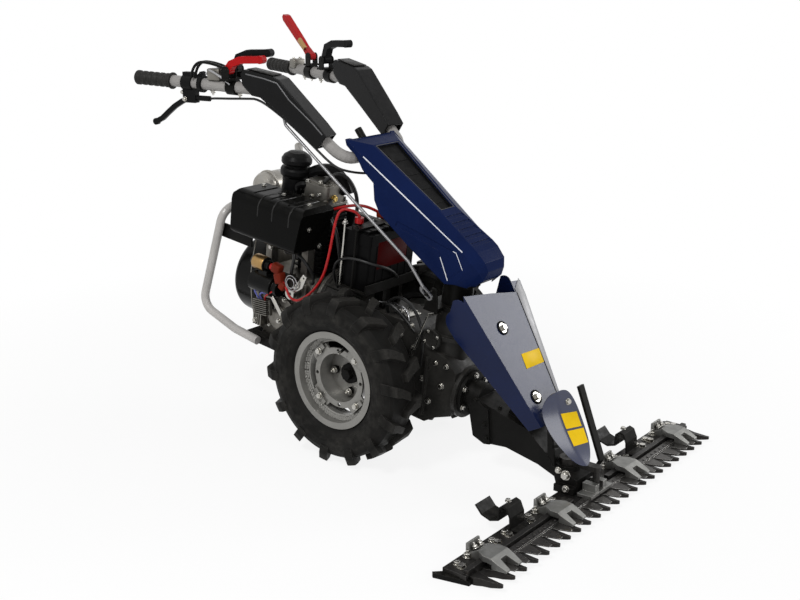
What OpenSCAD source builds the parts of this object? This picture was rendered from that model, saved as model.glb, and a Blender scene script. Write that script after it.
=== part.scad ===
// Walk-behind sickle bar mower: two-wheel diesel tractor with reversed handlebars and a front cutter bar.
// Millimetres, +Z up, +X forward to the cutter bar, +Y to the operator's left.

/* [Wheels] */
// Outside diameter of a tyre over its lugs
tyre_d = 500; // [490:2:530]
// Width of a tyre at its sidewalls
tyre_w = 126; // [118:1:134]
// Distance between the middles of the two tyres
track = 430; // [426:2:480]
// Lugs on each side of a tyre
lug_count = 14; // [10:1:15]
// Height of a lug above the casing
lug_h = 18; // [14:1:22]
// Diameter of the rim flanges
rim_d = 288; // [284:1:292]
// Circle of the four free holes in a wheel disc
weight_pcd = 164; // [160:1:168]

/* [Tractor] */
// Nose-down tilt of the engine and gearbox in degrees
pitch = 7.5; // [6.5:0.5:8.5]
// Width of the gearbox case
case_w = 136; // [120:2:150]
// Length of the clutch bell between gearbox and engine
bell_l = 155; // [140:1:160]
// Height of the crankshaft over the axle
crank_z = 110; // [104:1:114]
// Diameter of the fan cowl
cowl_d = 256; // [240:2:264]
// Depth of the fan cowl
cowl_l = 104; // [80:1:110]
// Height of the finned cylinder
cyl_h = 150; // [130:2:160]
// Fins around the cylinder
fin_count = 9; // [6:1:12]
// Length of the fuel tank
tank_l = 286; // [250:2:290]
// Depth of the fuel tank from side to side
tank_w = 140; // [110:2:150]
// Height of the fuel tank
tank_h = 138; // [100:2:150]
// Diameter of the air filter body
filter_d = 96; // [80:1:100]
// Tube diameter of the rear bumper
bumper_d = 27; // [22:1:32]

/* [Battery] */
// Battery size along the machine
battery_l = 96; // [80:1:100]
// Battery size across the machine
battery_w = 206; // [160:2:210]
// Battery height
battery_h = 186; // [150:2:190]

/* [Handlebars] */
// Length of the hood along its slope
hood_l = 495; // [480:1:510]
// Width of the hood
hood_w = 210; // [196:1:214]
// Wall thickness of the hood
hood_t = 4; // [3:0.5:5]
// Slope of the hood in degrees
hood_slope = 32.6; // [32:0.2:33.4]
// Outside diameter of the handlebar tube
bar_d = 34; // [30:0.5:36]
// Splay of each handlebar in degrees
splay = 12; // [9:0.5:14]
// Length of a handlebar from its elbow to the end of the grip
handle_l = 656; // [630:2:690]
// Length of a grip
grip_l = 132; // [110:2:140]
// Outside diameter of a grip
grip_d = 43; // [41:0.5:46]
// Width of a handlebar shell
shell_w = 58; // [52:1:64]
// Length of the tall gear lever
gear_lever_l = 190; // [150:2:220]

/* [Cutter bar] */
// Distance between two fingers
finger_pitch = 50; // [48:0.5:52]
// Fingers on the bar, an odd number
finger_count = 23; // [19:2:25]
// Length of a finger in front of the bar
finger_l = 85; // [78:1:90]
// Width of a finger at its root
finger_w = 30; // [24:1:32]
// Distance of the bar's back edge from the axle
bar_x = 636; // [630:1:660]
// Depth of the flat bar
bar_w = 68; // [66:1:72]
// Thickness of the flat bar
bar_t = 12; // [10:0.5:14]
// Thickness of a knife section
blade_t = 2.5; // [2:0.1:3]
// Swing radius of the knife drive lever
drive_r = 88; // [84:1:92]

/* [Shields] */
// Half width of the upper shield at its top
shield_top = 115; // [105:1:120]
// Half width of the upper shield at its foot
shield_foot = 62; // [58:1:70]
// Depth of the shield's side panels
shield_side_w = 100; // [80:1:105]
// Sheet thickness of the shields
sheet_t = 3; // [2:0.5:3.5]

/* [Hidden] */
$fn = 48;
gap = 0.3;
fit = 0.05;
big = 2000;
axle_h = tyre_d / 2;

// wheels
flange_h = 17;
rim_t = 4;
rim_w = 92;
rim_r = rim_d / 2;
seat_r = rim_r - flange_h;
well_r = seat_r - 16;
casing_r = tyre_d / 2 - lug_h;
disc_w = 9;
cup_r = 78;
cup_depth = 54;
hub_bolt_pcd = 108;
axle_r = 17;
trumpet_y = 138;

// tractor block, in its own tilted frame about the axle
box_rear = -60;
box_front = 300;
box_top = 165;
turret_x = 215;
turret_top = 235;
turret_r = 52;
pivot_r = 20;
engine_x = box_rear - bell_l;
flange_r = 108;
neck_l = 32;

// engine, from its drive face, on the crankshaft line
crank_l = 240;
crank_w = 224;
crank_top = 80;
crank_bottom = -130;
foot_z = crank_bottom - 8;
cyl_x = -98;
cyl_l = 92;
cyl_w = 88;
fin_out = 10;
head_h = 66;
cover_h = 72;
head_z = crank_top + cyl_h;
cover_z = head_z + head_h;
tank_x0 = -2;
tank_y1 = -60;
tank_z = 182;
filter_x = -215;
filter_y = -5;
filter_z = head_z + 55;
muffler_x = -322;
muffler_z = head_z + 58;
muffler_r = 45;
starter_x = -223;
starter_y = -150;
starter_z = 40;
starter_r = 33;
base_top = crank_z + foot_z;

// battery
battery_x0 = -17;
battery_y0 = -122;
battery_z = 230;
tray_t = 5;

// bumper
bumper_y = 150 + bumper_d / 2 + gap;
bumper_knee = [-646, 0];
bumper_top = [-573, 343];

// hood and handlebars, fixed to the turret
turret_m = to_machine(turret_x, turret_top);
hood_foot = [turret_m[0] + 101, turret_m[1] + 189];
hood_rear = [hood_foot[0] - hood_l * cos(hood_slope), hood_foot[1] + hood_l * sin(hood_slope)];
hood_half = hood_w / 2;
hood_low = [[12, -10], [60, -18], [92, -36], [141, -45], [168, -85], [201, -107], [335, -125],
    [hood_l - 20, -137]];
roof_pitch = atan(0.063);
roof_u = 60;
roof_v = 21;
roof_l = hood_l * 0.5616;
roof_half = hood_half * 0.5714;
roof_end = hood_half * 0.3623;
wedge = [[0.529, -86], [0.925, -36], [1.01, -64], [0.966, -122], [0.857, -80], [0.832, -68], [0.529, -102]];
hood_nose = [[[hood_l + 7, 70, -116], [hood_l + 14, 70, -30], [hood_l + 4, 50, -2]],
    [[hood_l + 36, 58, -106], [hood_l + 46, 58, -42], [hood_l + 40, 46, -12]],
    [[hood_l + 50, 44, -98], [hood_l + 62, 44, -58], [hood_l + 58, 38, -30]]];
tube_u = 42;
tube_v = -34;
yoke = hood_at(tube_u, tube_v);
elbow = [yoke[0] - 50, hood_w / 2 + 41, yoke[1] + 48];
leg_a = 39;
bend = [168, 131];
rise = 2;
grip_z = bend[1] + (handle_l - bend[0]) * tan(rise);
pin_d = 10;
lock_y = 28;
lock_p = [yoke[0] - 42, yoke[1] + 4];
rod_y = 128;
rod_pin = turret_m + [-6, 66];
rod_bend = turret_m + [-70, 146];
rod_top = [138, -4, 36];
shell_outer = [[-14, 18], [14, 48], [120, 150], [138, 167], [156, 174], [on_tube(0.236), 190],
    [on_tube(0.27), 178], [on_tube(0.253), 146], [on_tube(0.168), 118], [on_tube(0.09), 114], [114, 54],
    [14, -18]];
shell_inner = [[-18, 8], [18, 44], [122, 146], [158, 168], [on_tube(0.23), 184], [on_tube(0.247), 174],
    [on_tube(0.236), 149], [on_tube(0.163), 122], [on_tube(0.084), 118], [112, 58], [8, -22]];
lever_s = on_tube(0.399);
lever_z = 186;
gear_s = on_tube(0.702);
gear_z = 188;
brake_s = on_tube(0.837);
throttle_s = gear_s;

// cutter bar
bar_z = 12;
bar_front = bar_x + bar_w;
bar_half = (finger_count - 1) / 2 * finger_pitch;
shoe_y = bar_half + 48;
tip_x = bar_front + finger_l;
knife_z = bar_z + 8;
knife_top = knife_z + blade_t;
knife_back = 4.5;
rail_h = 10;
clip_y = [-bar_half + 1.5 * finger_pitch, -3.5 * finger_pitch, 3.5 * finger_pitch,
    bar_half - 1.5 * finger_pitch];
drive_x = bar_front + 12;
drive_pivot_x = drive_x - drive_r;
head_z0 = bar_z + bar_t;
head_y = [-62, 76];
drive_pin_r = 10;
drive_z = head_z0 + 62 + gap;
runner_y = 6 * finger_pitch;
runner = [[48, head_z0 + 2.5], [26, head_z0 + 2.5], [24, 60], [14, 82], [2, 86], [-10, 76], [-12, 44],
    [-36, 36], [-62, 44], [-82, 66]];

// shields
shield_a = [352, 531];
shield_b = [576, 194];
shield_len = norm(shield_b - shield_a);
shield_tilt = atan2(shield_a[1] - shield_b[1], shield_b[0] - shield_a[0]);
taper = atan2(shield_top - shield_foot, shield_len);
lower_len = 196;
lower_tilt = 68.2;
lower_top = [610, 292];
lower_tab = 56;
lower_seat = -48;

// the whole machine between its grips and its finger tips, centred on the origin
rear_x = elbow[0] - handle_l * cos(splay) - grip_d / 2 * sin(splay);
mid_x = (tip_x + rear_x) / 2;

function to_machine(x, z) = [x * cos(pitch) + z * sin(pitch), axle_h - x * sin(pitch) + z * cos(pitch)];
function hood_at(u, v) = [hood_rear[0] + u * cos(hood_slope) + v * sin(hood_slope),
    hood_rear[1] - u * sin(hood_slope) + v * cos(hood_slope)];
function crease_at(u) = [u, hood_half + 3 - u * 0.077, 2 - u * 0.048];
function roof_at(u) = u < roof_u ? [u, hood_half - 5 - u * 0.7, 3 + u * 0.29] :
    let (on = min(u - roof_u, roof_l), past = max(u - roof_u - roof_l, 0))
        [u, roof_half - on / roof_l * (roof_half - roof_end) + past * 0.09,
            roof_v - on * tan(roof_pitch) - past * 0.026];
function hood_ring(q) = [for (p = q) [p[0], -p[1], p[2]], for (i = [2, 1, 0]) q[i]];
function shield_at(u, v) = [shield_a[0] + u * cos(shield_tilt) + v * sin(shield_tilt),
    shield_a[1] - u * sin(shield_tilt) + v * cos(shield_tilt)];
function lower_at(u, v) = [lower_top[0] + u * cos(lower_tilt) + v * sin(lower_tilt),
    lower_top[1] - u * sin(lower_tilt) + v * cos(lower_tilt)];
function unit(v) = v / norm(v);
function on_tube(share) = bend[0] + (handle_l - grip_l - bend[0]) * share;
function arm_at(s, n, z) = [elbow[0] - s * cos(splay) + n * sin(splay),
    -elbow[1] - s * sin(splay) - n * cos(splay), elbow[2] + z];
function mirror_y(p) = [p[0], -p[1], p[2]];
function turn(c, r, a0, a1, n) = [for (i = [0:n]) c + r * [cos(a0 + (a1 - a0) * i / n),
    sin(a0 + (a1 - a0) * i / n)]];
function stadium(a, b, w) = let (q = atan2(b[1] - a[1], b[0] - a[0]))
    concat(turn(b, w / 2, q - 90, q + 90, 8), turn(a, w / 2, q + 90, q + 270, 8));
function across(p, i) = let (n = len(p), k = max(i, 1), j = min(i, n - 2), a = unit(p[k] - p[k - 1]),
    b = unit(p[j + 1] - p[j]), m = unit([-a[1] - b[1], a[0] + b[0]])) m / (m * [-a[1], a[0]]);
function ribbon(p, w) = concat([for (i = [0:len(p) - 1]) p[i] + w / 2 * across(p, i)],
    [for (i = [len(p) - 1:-1:0]) p[i] - w / 2 * across(p, i)]);
function round_rect(x0, y0, x1, y1, r) = concat(turn([x1 - r, y1 - r], r, 0, 90, 6),
    turn([x0 + r, y1 - r], r, 90, 180, 6), turn([x0 + r, y0 + r], r, 180, 270, 6),
    turn([x1 - r, y0 + r], r, 270, 360, 6));

// frames

module machine() {
    translate([-mid_x, 0, 0]) children();
}

module tractor() {
    machine() translate([0, 0, axle_h]) rotate([0, pitch, 0]) children();
}

module engine() {
    tractor() translate([engine_x, 0, crank_z]) children();
}

module side(s) {
    if (s < 0) {
        children();
    } else {
        mirror([0, 1, 0]) children();
    }
}

module wheel(s) {
    machine() side(s) translate([0, -track / 2, axle_h]) rotate([90, 0, 0]) children();
}

module hood_frame() {
    machine() translate([hood_rear[0], 0, hood_rear[1]]) rotate([0, hood_slope, 0]) children();
}

module arm(s) {
    machine() side(s) translate([elbow[0], -elbow[1], elbow[2]]) rotate([0, 0, 180 + splay]) children();
}

module column_frame() {
    tractor() translate([turret_x, 0, turret_top]) children();
}

// shapes

module slab(w) {
    rotate([90, 0, 0]) linear_extrude(w, center = true) children();
}

module rod(a, b, d) {
    v = b - a;
    translate(a) rotate([0, acos(v[2] / norm(v)), atan2(v[1], v[0])]) cylinder(d = d, h = norm(v));
}

module hex_bolt(d, h) {
    cylinder(d = d * 1.25, h = 1.5);
    cylinder(d = d, h = h, $fn = 6);
}

// a path through points with round bends of radius r
function bend_angle(a, b, c) = acos(unit(b - a) * unit(c - b));
function bend_points(a, b, c, r, n) = let (u = unit(b - a), w = unit(c - b), q = bend_angle(a, b, c),
    out = cross(u, unit(cross(u, w))), centre = b - u * r * tan(q / 2) - out * r)
    [for (i = [0:n]) centre + r * (cos(q * i / n) * out + sin(q * i / n) * u)];
function bend_path(p, r, n) = concat([p[0]], [for (i = [1:len(p) - 2]) each
    bend_points(p[i - 1], p[i], p[i + 1], r, n)], [p[len(p) - 1]]);

// a path through points with its corners cut off twice
function smooth(p, n) = n == 0 ? p : smooth(concat([p[0]], [for (i = [0:len(p) - 2]) each
    [p[i] * 0.75 + p[i + 1] * 0.25, p[i] * 0.25 + p[i + 1] * 0.75]], [p[len(p) - 1]]), n - 1);
function tangent(p, i) = unit(p[min(i + 1, len(p) - 1)] - p[max(i - 1, 0)]);
function carry(p, i, side) = i == len(p) ? [] :
    let (t = tangent(p, i), s = unit(side - (side * t) * t)) concat([s], carry(p, i + 1, s));

// a round section swept along a path
module sweep(p, d, sides) {
    s = carry(p, 0, [0.31, 0.9, 0.27]);
    ring = [for (i = [0:len(p) - 1]) for (k = [0:sides - 1]) let (a = 360 * k / sides)
        p[i] + d / 2 * (cos(a) * s[i] + sin(a) * cross(tangent(p, i), s[i]))];
    last = (len(p) - 1) * sides;
    faces = concat([[for (k = [0:sides - 1]) k]],
        [for (i = [0:len(p) - 2]) for (k = [0:sides - 1])
            [i * sides + k, (i + 1) * sides + k, (i + 1) * sides + (k + 1) % sides,
                i * sides + (k + 1) % sides]],
        [[for (k = [sides - 1:-1:0]) last + k]]);
    polyhedron(ring, faces, convexity = 6);
}

module bent_tube(pts, r, d, sides = 16) {
    sweep(bend_path(pts, r, 6), d, sides);
}

module cord(pts, d, sides = 8) {
    sweep(smooth(pts, 2), d, sides);
}

// wheels

module tyre_casing() {
    h = tyre_w / 2;
    b = rim_w / 2 - rim_t - gap;
    half = [[seat_r + rim_t / 2 + gap, b], [rim_r + gap * 2, b], [rim_r + 8, h - 12],
        [rim_r + 22, h - 3], [rim_r + 40, h], [casing_r - 26, h - 2], [casing_r - 10, h - 9],
        [casing_r - 3, h - 19], [casing_r, 0]];
    rotate_extrude($fn = 96)
        polygon(concat(half, [for (i = [len(half) - 2:-1:0]) [half[i][0], -half[i][1]]]));
}

module tyre_hollow() {
    h = tyre_w / 2 - 11;
    half = [[seat_r - 1, rim_w / 2 - 16], [rim_r + 6, h - 14], [rim_r + 22, h - 3], [rim_r + 40, h],
        [casing_r - 30, h - 3], [casing_r - 14, h - 14], [casing_r - 11, 0]];
    rotate_extrude($fn = 96)
        polygon(concat(half, [for (i = [len(half) - 2:-1:0]) [half[i][0], -half[i][1]]]));
}

module tyre_lugs() {
    h = tyre_w / 2;
    for (i = [0:lug_count - 1]) for (m = [0, 1])
        rotate([0, 0, (i + m / 2) * 360 / lug_count]) mirror([0, 0, m]) rotate([0, 90, 0])
            translate([0, 0, casing_r - 34]) linear_extrude(lug_h + 50)
                polygon([[4, -14], [4, 9], [-30, 30], [-h - 2, 44], [-h - 2, 14], [-30, 4]]);
}

module lug_envelope() {
    h = tyre_w / 2;
    rotate_extrude($fn = 96) polygon([[casing_r - 32, -h - 1], [casing_r - 8, -h - 1],
        [casing_r + lug_h - 2, -h + 7], [casing_r + lug_h, -h + 11], [casing_r + lug_h, h - 11],
        [casing_r + lug_h - 2, h - 7], [casing_r - 8, h + 1], [casing_r - 32, h + 1]]);
}

module tyre(s) {
    color("#26282b") wheel(s) difference() {
        union() {
            tyre_casing();
            intersection() {
                tyre_lugs();
                lug_envelope();
            }
        }
        tyre_hollow();
    }
}

module rim(s) {
    h = rim_w / 2;
    t = rim_t;
    outer = [[rim_r, -h + t], [seat_r + t / 2, -h + t], [seat_r + t / 2, -26], [well_r + t / 2, -18],
        [well_r + t / 2, 18], [seat_r + t / 2, 26], [seat_r + t / 2, h - t], [rim_r, h - t]];
    inner = [[rim_r, h], [seat_r - t / 2, h], [seat_r - t / 2, 24], [well_r - t / 2, 16],
        [well_r - t / 2, -16], [seat_r - t / 2, -24], [seat_r - t / 2, -h], [rim_r, -h]];
    color("#b9bcbf") wheel(s) difference() {
        union() {
            rotate_extrude($fn = 96) polygon(concat(outer, inner));
            for (q = [45:90:315]) rotate([0, 0, q]) {
                translate([cup_r + 14, -26, disc_w + 6]) cube([well_r - cup_r - 17.5, 52, 6]);
                translate([well_r - 10, -26, -6]) cube([6.5, 52, disc_w + 14]);
            }
        }
        for (q = [45:90:315]) rotate([0, 0, q]) translate([cup_r + 19, 0, 0]) cylinder(d = 13, h = 40);
    }
}

module disc(s) {
    color("#c3c6c9") wheel(s) difference() {
        union() {
            rotate_extrude($fn = 96) polygon([[30, disc_w - cup_depth], [cup_r, disc_w - cup_depth],
                [cup_r, disc_w],
                [cup_r + 12, disc_w], [cup_r + 12, disc_w + 6], [cup_r - 6, disc_w + 6],
                [cup_r - 6, disc_w - cup_depth + 6], [30, disc_w - cup_depth + 6]]);
            for (q = [45:90:315]) rotate([0, 0, q]) translate([cup_r + 4, -34, disc_w])
                cube([well_r - cup_r - 14.5, 68, 6]);
        }
        for (q = [0:90:270]) rotate([0, 0, q]) {
            translate([weight_pcd / 2, 0, 0]) cylinder(d = 11, h = 40);
            translate([hub_bolt_pcd / 2, 0, disc_w - cup_depth - 5]) cylinder(d = 14.5, h = 20);
        }
        for (q = [45:90:315]) rotate([0, 0, q]) translate([cup_r + 19, 0, 0]) cylinder(d = 13, h = 40);
    }
}

module hub(s) {
    w = disc_w - cup_depth;
    inner = -track / 2 + 62;
    color("#3d4045") wheel(s) {
        translate([0, 0, w - 12]) cylinder(r = 70, h = 12);
        translate([0, 0, w - 12 - (track / 2 + w - 12 - trumpet_y - gap)])
            cylinder(r = 34, h = track / 2 + w - 12 - trumpet_y - gap + 1);
        translate([0, 0, w - 1]) cylinder(r = 30 - gap, h = 16);
        translate([0, 0, w + 15]) cylinder(d = 34, h = 16, $fn = 6);
        translate([0, 0, inner]) cylinder(r = axle_r, h = w - 11 - inner);
        for (q = [0:90:270]) rotate([0, 0, q]) translate([hub_bolt_pcd / 2, 0, w - 1]) {
            cylinder(d = 14, h = 8);
            translate([0, 0, 7]) cylinder(d = 24, h = 9, $fn = 6);
        }
    }
}

// gearbox and frame

module gearbox_case() {
    h = case_w / 2;
    color("#2b2a29") tractor() difference() {
        union() {
            slab(case_w) polygon([[box_rear, -85], [box_rear, box_top], [118, box_top], [160, 128],
                [250, 104], [box_front - 12, 70], [box_front - 12, -62], [236, -86], [200, -112], [60,
                    -112],
                [20, -92]]);
            translate([box_rear, 0, crank_z]) rotate([0, 90, 0]) cylinder(r = flange_r, h = 12);
            translate([box_front - 12, 0, 0]) rotate([0, 90, 0]) cylinder(r = 78, h = 12);
            translate([turret_x, 0, 60]) cylinder(r = turret_r, h = turret_top - 60);
            translate([turret_x, 0, 150]) cylinder(r = turret_r + 14, h = 12);
            translate([turret_x, 0, turret_top - 1]) cylinder(r = pivot_r, h = 31);
            rotate([90, 0, 0]) cylinder(r = 44, h = 2 * trumpet_y, center = true);
            rotate([90, 0, 0]) cylinder(r = 58, h = case_w + 36, center = true);
            for (m = [-1, 1]) for (x = [70, 130, 190]) translate([x, m * (h + 4), 0])
                cube([9, 10, 180], center = true);
            for (m = [-1, 1]) translate([38, m * (h + 3), -70]) cube([190, 8, 10], center = true);
        }
        rotate([90, 0, 0]) for (m = [0, 1]) mirror([0, 0, m]) translate([0, 0, 60])
            cylinder(r = axle_r + fit, h = 120);
    }
}

module bell_housing() {
    color("#323336") engine() rotate([0, 90, 0]) difference() {
        union() {
            rotate_extrude() polygon([[30, 0], [flange_r, 0], [flange_r, 12], [104, 14], [98,
                bell_l - 14],
                [flange_r, bell_l - 12], [flange_r, bell_l], [30, bell_l]]);
            for (q = [0:45:315]) rotate([0, 0, q]) translate([94, -4, 6]) cube([20, 8, bell_l - 12]);
        }
        translate([0, 0, 20]) cylinder(r = 84, h = bell_l - 40);
    }
}

module engine_frame() {
    back = engine_x - crank_l;
    wide = engine_x - 52;
    color("#8b9096") tractor() difference() {
        union() {
            translate([0, 0, base_top - 6]) linear_extrude(6)
                polygon([[back, -150], [wide, -150], [wide, -108], [-12, -108], [-12, 108], [wide, 108],
                    [wide, 150], [back, 150]]);
            for (m = [-1, 1]) {
                translate([back, m * 147 - 3, base_top - 28]) cube([wide - back, 6, 23]);
                translate([wide - 1, m * 105 - 3, base_top - 28]) cube([-12 - wide, 6, 23]);
                translate([-52, m > 0 ? case_w / 2 : -108, base_top - 28])
                    cube([40, 108 - case_w / 2, 23]);
            }
        }
        translate([box_rear - 0.01, -case_w / 2, base_top - 40]) cube([100, case_w, 60]);
        translate([box_rear - 120, -60, base_top - 40]) cube([80, 120, 60]);
        rotate([90, 0, 0]) cylinder(r = 58 + gap, h = 240, center = true);
        for (m = [-1, 1]) translate([back + 30, m * 120, base_top - 20]) cylinder(d = 13, h = 40);
    }
}

// engine

module crankcase() {
    w = crank_w / 2;
    color("#9ea2a4") engine() {
        slab(crank_w) polygon([[-10, -90], [-10, 50], [-36, crank_top], [-200, crank_top],
            [-crank_l + 14, 60],
            [-crank_l + 14, crank_bottom], [-40, crank_bottom]]);
        translate([-11, 0, 0]) rotate([0, 90, 0]) cylinder(r = flange_r, h = 11);
        translate([-crank_l, 0, 0]) rotate([0, 90, 0]) cylinder(d = cowl_d - 4, h = 15);
        for (m = [-1, 1]) translate([-210, m > 0 ? w - 60 : -w, foot_z]) cube([160, 60, 9]);
        translate([-128, -w + 1, -52]) rotate([90, 0, 0]) cylinder(r = 58, h = 14);
        translate([-128, -w - 12, -52]) rotate([90, 0, 0]) cylinder(r = 26, h = 8);
        for (x = [-210, -62]) translate([x - 12, -w + 6, crank_top - 40]) cube([24, 30,
            tank_z - crank_top + 40]);
        translate([-200, starter_y + starter_r + gap, starter_z - 14])
            cube([80, -w - starter_y - starter_r + 8, 28]);
        translate([-226, -w - 26, -112]) cube([34, 28, 6]);
        for (i = [0:3]) translate([-226 + i * 9.6, -w - 30, -112]) cube([5, 31, 52]);
    }
}

module cylinder_block() {
    color("#8d9194") engine() translate([cyl_x, 0, crank_top]) {
        translate([-cyl_l / 2, -cyl_w / 2, 0]) cube([cyl_l, cyl_w, cyl_h]);
        for (i = [0:fin_count - 1]) translate([-cyl_l / 2 - fin_out, -cyl_w / 2 - fin_out,
            8 + i * (cyl_h - 20) / (fin_count - 1)])
            linear_extrude(4) polygon(round_rect(0, 0, cyl_l + 2 * fin_out, cyl_w + 2 * fin_out, 12));
    }
}

module cylinder_head() {
    l = cyl_l + 2 * fin_out;
    w = cyl_w + 2 * fin_out;
    color("#b2b6b8") engine() translate([cyl_x, 0, head_z]) {
        translate([-l / 2, -w / 2, 0]) linear_extrude(10) polygon(round_rect(0, 0, l, w, 10));
        translate([-l / 2 + 6, -w / 2 + 6, 9]) cube([l - 12, w - 12, head_h - 9]);
        for (i = [0:3]) translate([-l / 2, -w / 2, 18 + i * 12]) linear_extrude(4)
            polygon(round_rect(0, 0, l, w, 10));
        translate([-l / 2 - 3, -24, 14]) cube([12, 48, 46]);
        translate([-24, w / 2 - 8, 14]) cube([48, 11, 40]);
    }
}

module rocker_cover() {
    l = cyl_l + 2 * fin_out;
    w = cyl_w + 2 * fin_out;
    color("#c0c3c5") engine() translate([cyl_x, 0, cover_z]) {
        translate([-l / 2, -w / 2, 0]) linear_extrude(8) polygon(round_rect(0, 0, l, w, 14));
        translate([-l / 2 + 8, -w / 2 + 8, 7]) linear_extrude(cover_h - 19)
            polygon(round_rect(0, 0, l - 16, w - 16, 16));
        translate([-l / 2 + 14, -w / 2 + 14, cover_h - 13]) linear_extrude(7)
            polygon(round_rect(0, 0, l - 28, w - 28, 14));
        for (x = [-l / 2 + 12, l / 2 - 12]) for (y = [-w / 2 + 12, w / 2 - 12]) translate([x, y, 7])
            cylinder(d = 13, h = 12, $fn = 6);
        translate([l / 4, 0, cover_h - 7]) cylinder(d = 30, h = 7);
    }
}

module fan_cowl() {
    r = cowl_d / 2;
    l = cowl_l;
    color("#1f2123") engine() translate([-crank_l, 0, 0]) rotate([0, -90, 0]) difference() {
        rotate_extrude($fn = 96) polygon(concat([[0, 0], [r, 0]], turn([r - 26, l - 26], 26, 0, 80, 6),
            [[r * 0.66, l], [r * 0.62, l + 10], [0, l + 10]]));
        for (k = [-5:5]) translate([k * 14 - 4, -chord(k * 14 + 6, r * 0.52), l + 2])
            cube([8, 2 * chord(k * 14 + 6, r * 0.52), 20]);
        translate([0, 0, 6]) cylinder(r = r - 40, h = l - 16);
    }
}

function chord(x, r) = sqrt(max(r * r - x * x, 16));

module fuel_tank() {
    z1 = tank_z + tank_h;
    x1 = tank_x0 - tank_l;
    y0 = tank_y1 - tank_w;
    color("#17181a") engine() difference() {
        union() {
            intersection() {
                translate([x1, 0, 0]) rotate([90, 0, 90]) linear_extrude(tank_l)
                    polygon(concat(turn([tank_y1 - 14, z1 - 14], 14, 0, 90, 4),
                        turn([y0 + 34, z1 - 34], 34, 90, 180, 8),
                        turn([y0 + 18, tank_z + 18], 18, 180, 270, 6),
                        turn([tank_y1 - 14, tank_z + 14], 14, 270, 360, 4)));
                slab(big) polygon([[x1, tank_z], [x1, z1 - 14], [x1 + 14, z1], [tank_x0 - 12, z1],
                    [tank_x0, z1 - 14], [tank_x0 - 20, tank_z + 8], [tank_x0 - 28, tank_z]]);
            }
            translate([x1 + 12, y0 + 14, tank_z + tank_h * 0.2]) cube([tank_l - 46, tank_w - 20, 5]);
            translate([x1 + 4, y0 + tank_w / 2, z1 - 56]) rotate([0, -84, 0]) cylinder(d = 52, h = 24);
        }
        for (k = [1:3]) translate([x1 + k * tank_l / 4 - 5, y0 + 18, z1 - 3])
            cube([10, tank_w - 36, 10]);
    }
}

module fuel_cap() {
    x1 = tank_x0 - tank_l;
    color("#101113") engine() translate([x1 + 4, tank_y1 - tank_w / 2, tank_z + tank_h - 56])
        rotate([0, -84, 0]) translate([0, 0, 24 + gap]) {
            rotate_extrude() polygon([[0, 0], [29, 0], [31, 3], [31, 18], [27, 23], [0, 25]]);
            for (q = [0:30:330]) rotate([0, 0, q]) translate([28, -3, 5]) cube([5, 6, 10]);
        }
}

module air_filter() {
    r = filter_d / 2;
    color("#141517") engine() translate([filter_x, filter_y, filter_z]) {
        rotate_extrude() polygon([[0, 0], [r - 12, 0], [r - 8, 6], [r - 8, 60], [r - 2, 66], [r, 72],
            [r, 84], [r - 3, 90], [r - 14, 93], [r - 14, 98], [r - 4, 101], [r - 1, 106], [r - 1, 117],
            [r - 8, 128], [r - 22, 137], [0, 140]]);
        translate([0, -filter_y - 20, -30]) cube([cyl_x - filter_x - cyl_l / 2 - fin_out - 3, 40, 40]);
    }
}

module muffler() {
    color("#a7a9a8") engine() {
        translate([muffler_x, -46, muffler_z]) rotate([-90, 0, 0])
            rotate_extrude() polygon([[0, 0], [muffler_r - 18, 0], [muffler_r - 6, 5], [muffler_r, 16],
                [muffler_r, 30], [muffler_r + 5, 32], [muffler_r + 5, 38], [muffler_r, 40], [muffler_r,
                    150],
                [muffler_r + 5, 152], [muffler_r + 5, 158], [muffler_r, 160], [muffler_r - 6, 186],
                [muffler_r - 18, 194], [0, 196]]);
        bent_tube([[cyl_x, cyl_w / 2 + fin_out + 3, head_z + 34], [cyl_x, 112, head_z + 34],
            [muffler_x + 28, 112, muffler_z - 18]], 24, 30);
        translate([cyl_x - 24, cyl_w / 2 + fin_out + 3, head_z + 14]) cube([48, 8, 40]);
        bent_tube([[muffler_x, 120, muffler_z + 40], [muffler_x, 120, muffler_z + 84],
            [muffler_x - 34, 150, muffler_z + 100]], 24, 26);
    }
}

module starter_motor() {
    color("#2a2c2f") engine() translate([starter_x, starter_y, starter_z]) rotate([0, 90, 0]) {
        rotate_extrude() polygon([[0, 0], [starter_r - 6, 0], [starter_r, 5], [starter_r, 92],
            [starter_r - 8, 96],
            [starter_r - 8, 112], [0, 116]]);
        translate([-60, 0, 0]) rotate_extrude() polygon([[0, 0], [20, 0], [23, 4], [23, 52], [15, 55],
            [15, 66],
            [0, 70]]);
        translate([-44, -14, 30]) cube([28, 28, 34]);
    }
}

module injection_pump() {
    w = crank_w / 2;
    color("#a9adae") engine() translate([-66, -w, 40]) rotate([90, 0, 0]) {
        translate([-34, -30, 0]) linear_extrude(12) polygon(round_rect(0, 0, 68, 60, 8));
        translate([0, 0, 11]) cylinder(d = 42, h = 22);
        translate([0, 0, 32]) cylinder(d = 26, h = 8, $fn = 6);
        translate([0, 0, 39]) cylinder(d = pin_d, h = 9);
        translate([-24, 16, 11]) cube([14, 40, 14]);
    }
}

module speed_lever() {
    at = [-66, -crank_w / 2 - 40 - gap, 40];
    color("#c9ccce") engine() translate(at) rotate([90, 0, 0]) difference() {
        union() {
            cylinder(d = 34, h = 5);
            linear_extrude(5) polygon([[0, 8], [28, 44], [50, 78], [64, 72], [50, 34], [8, 0]]);
        }
        translate([53, 66, -1]) cylinder(d = 6, h = 10);
        translate([0, 0, -1]) cylinder(d = pin_d + 2 * fit, h = 10);
    }
}

// battery

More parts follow.
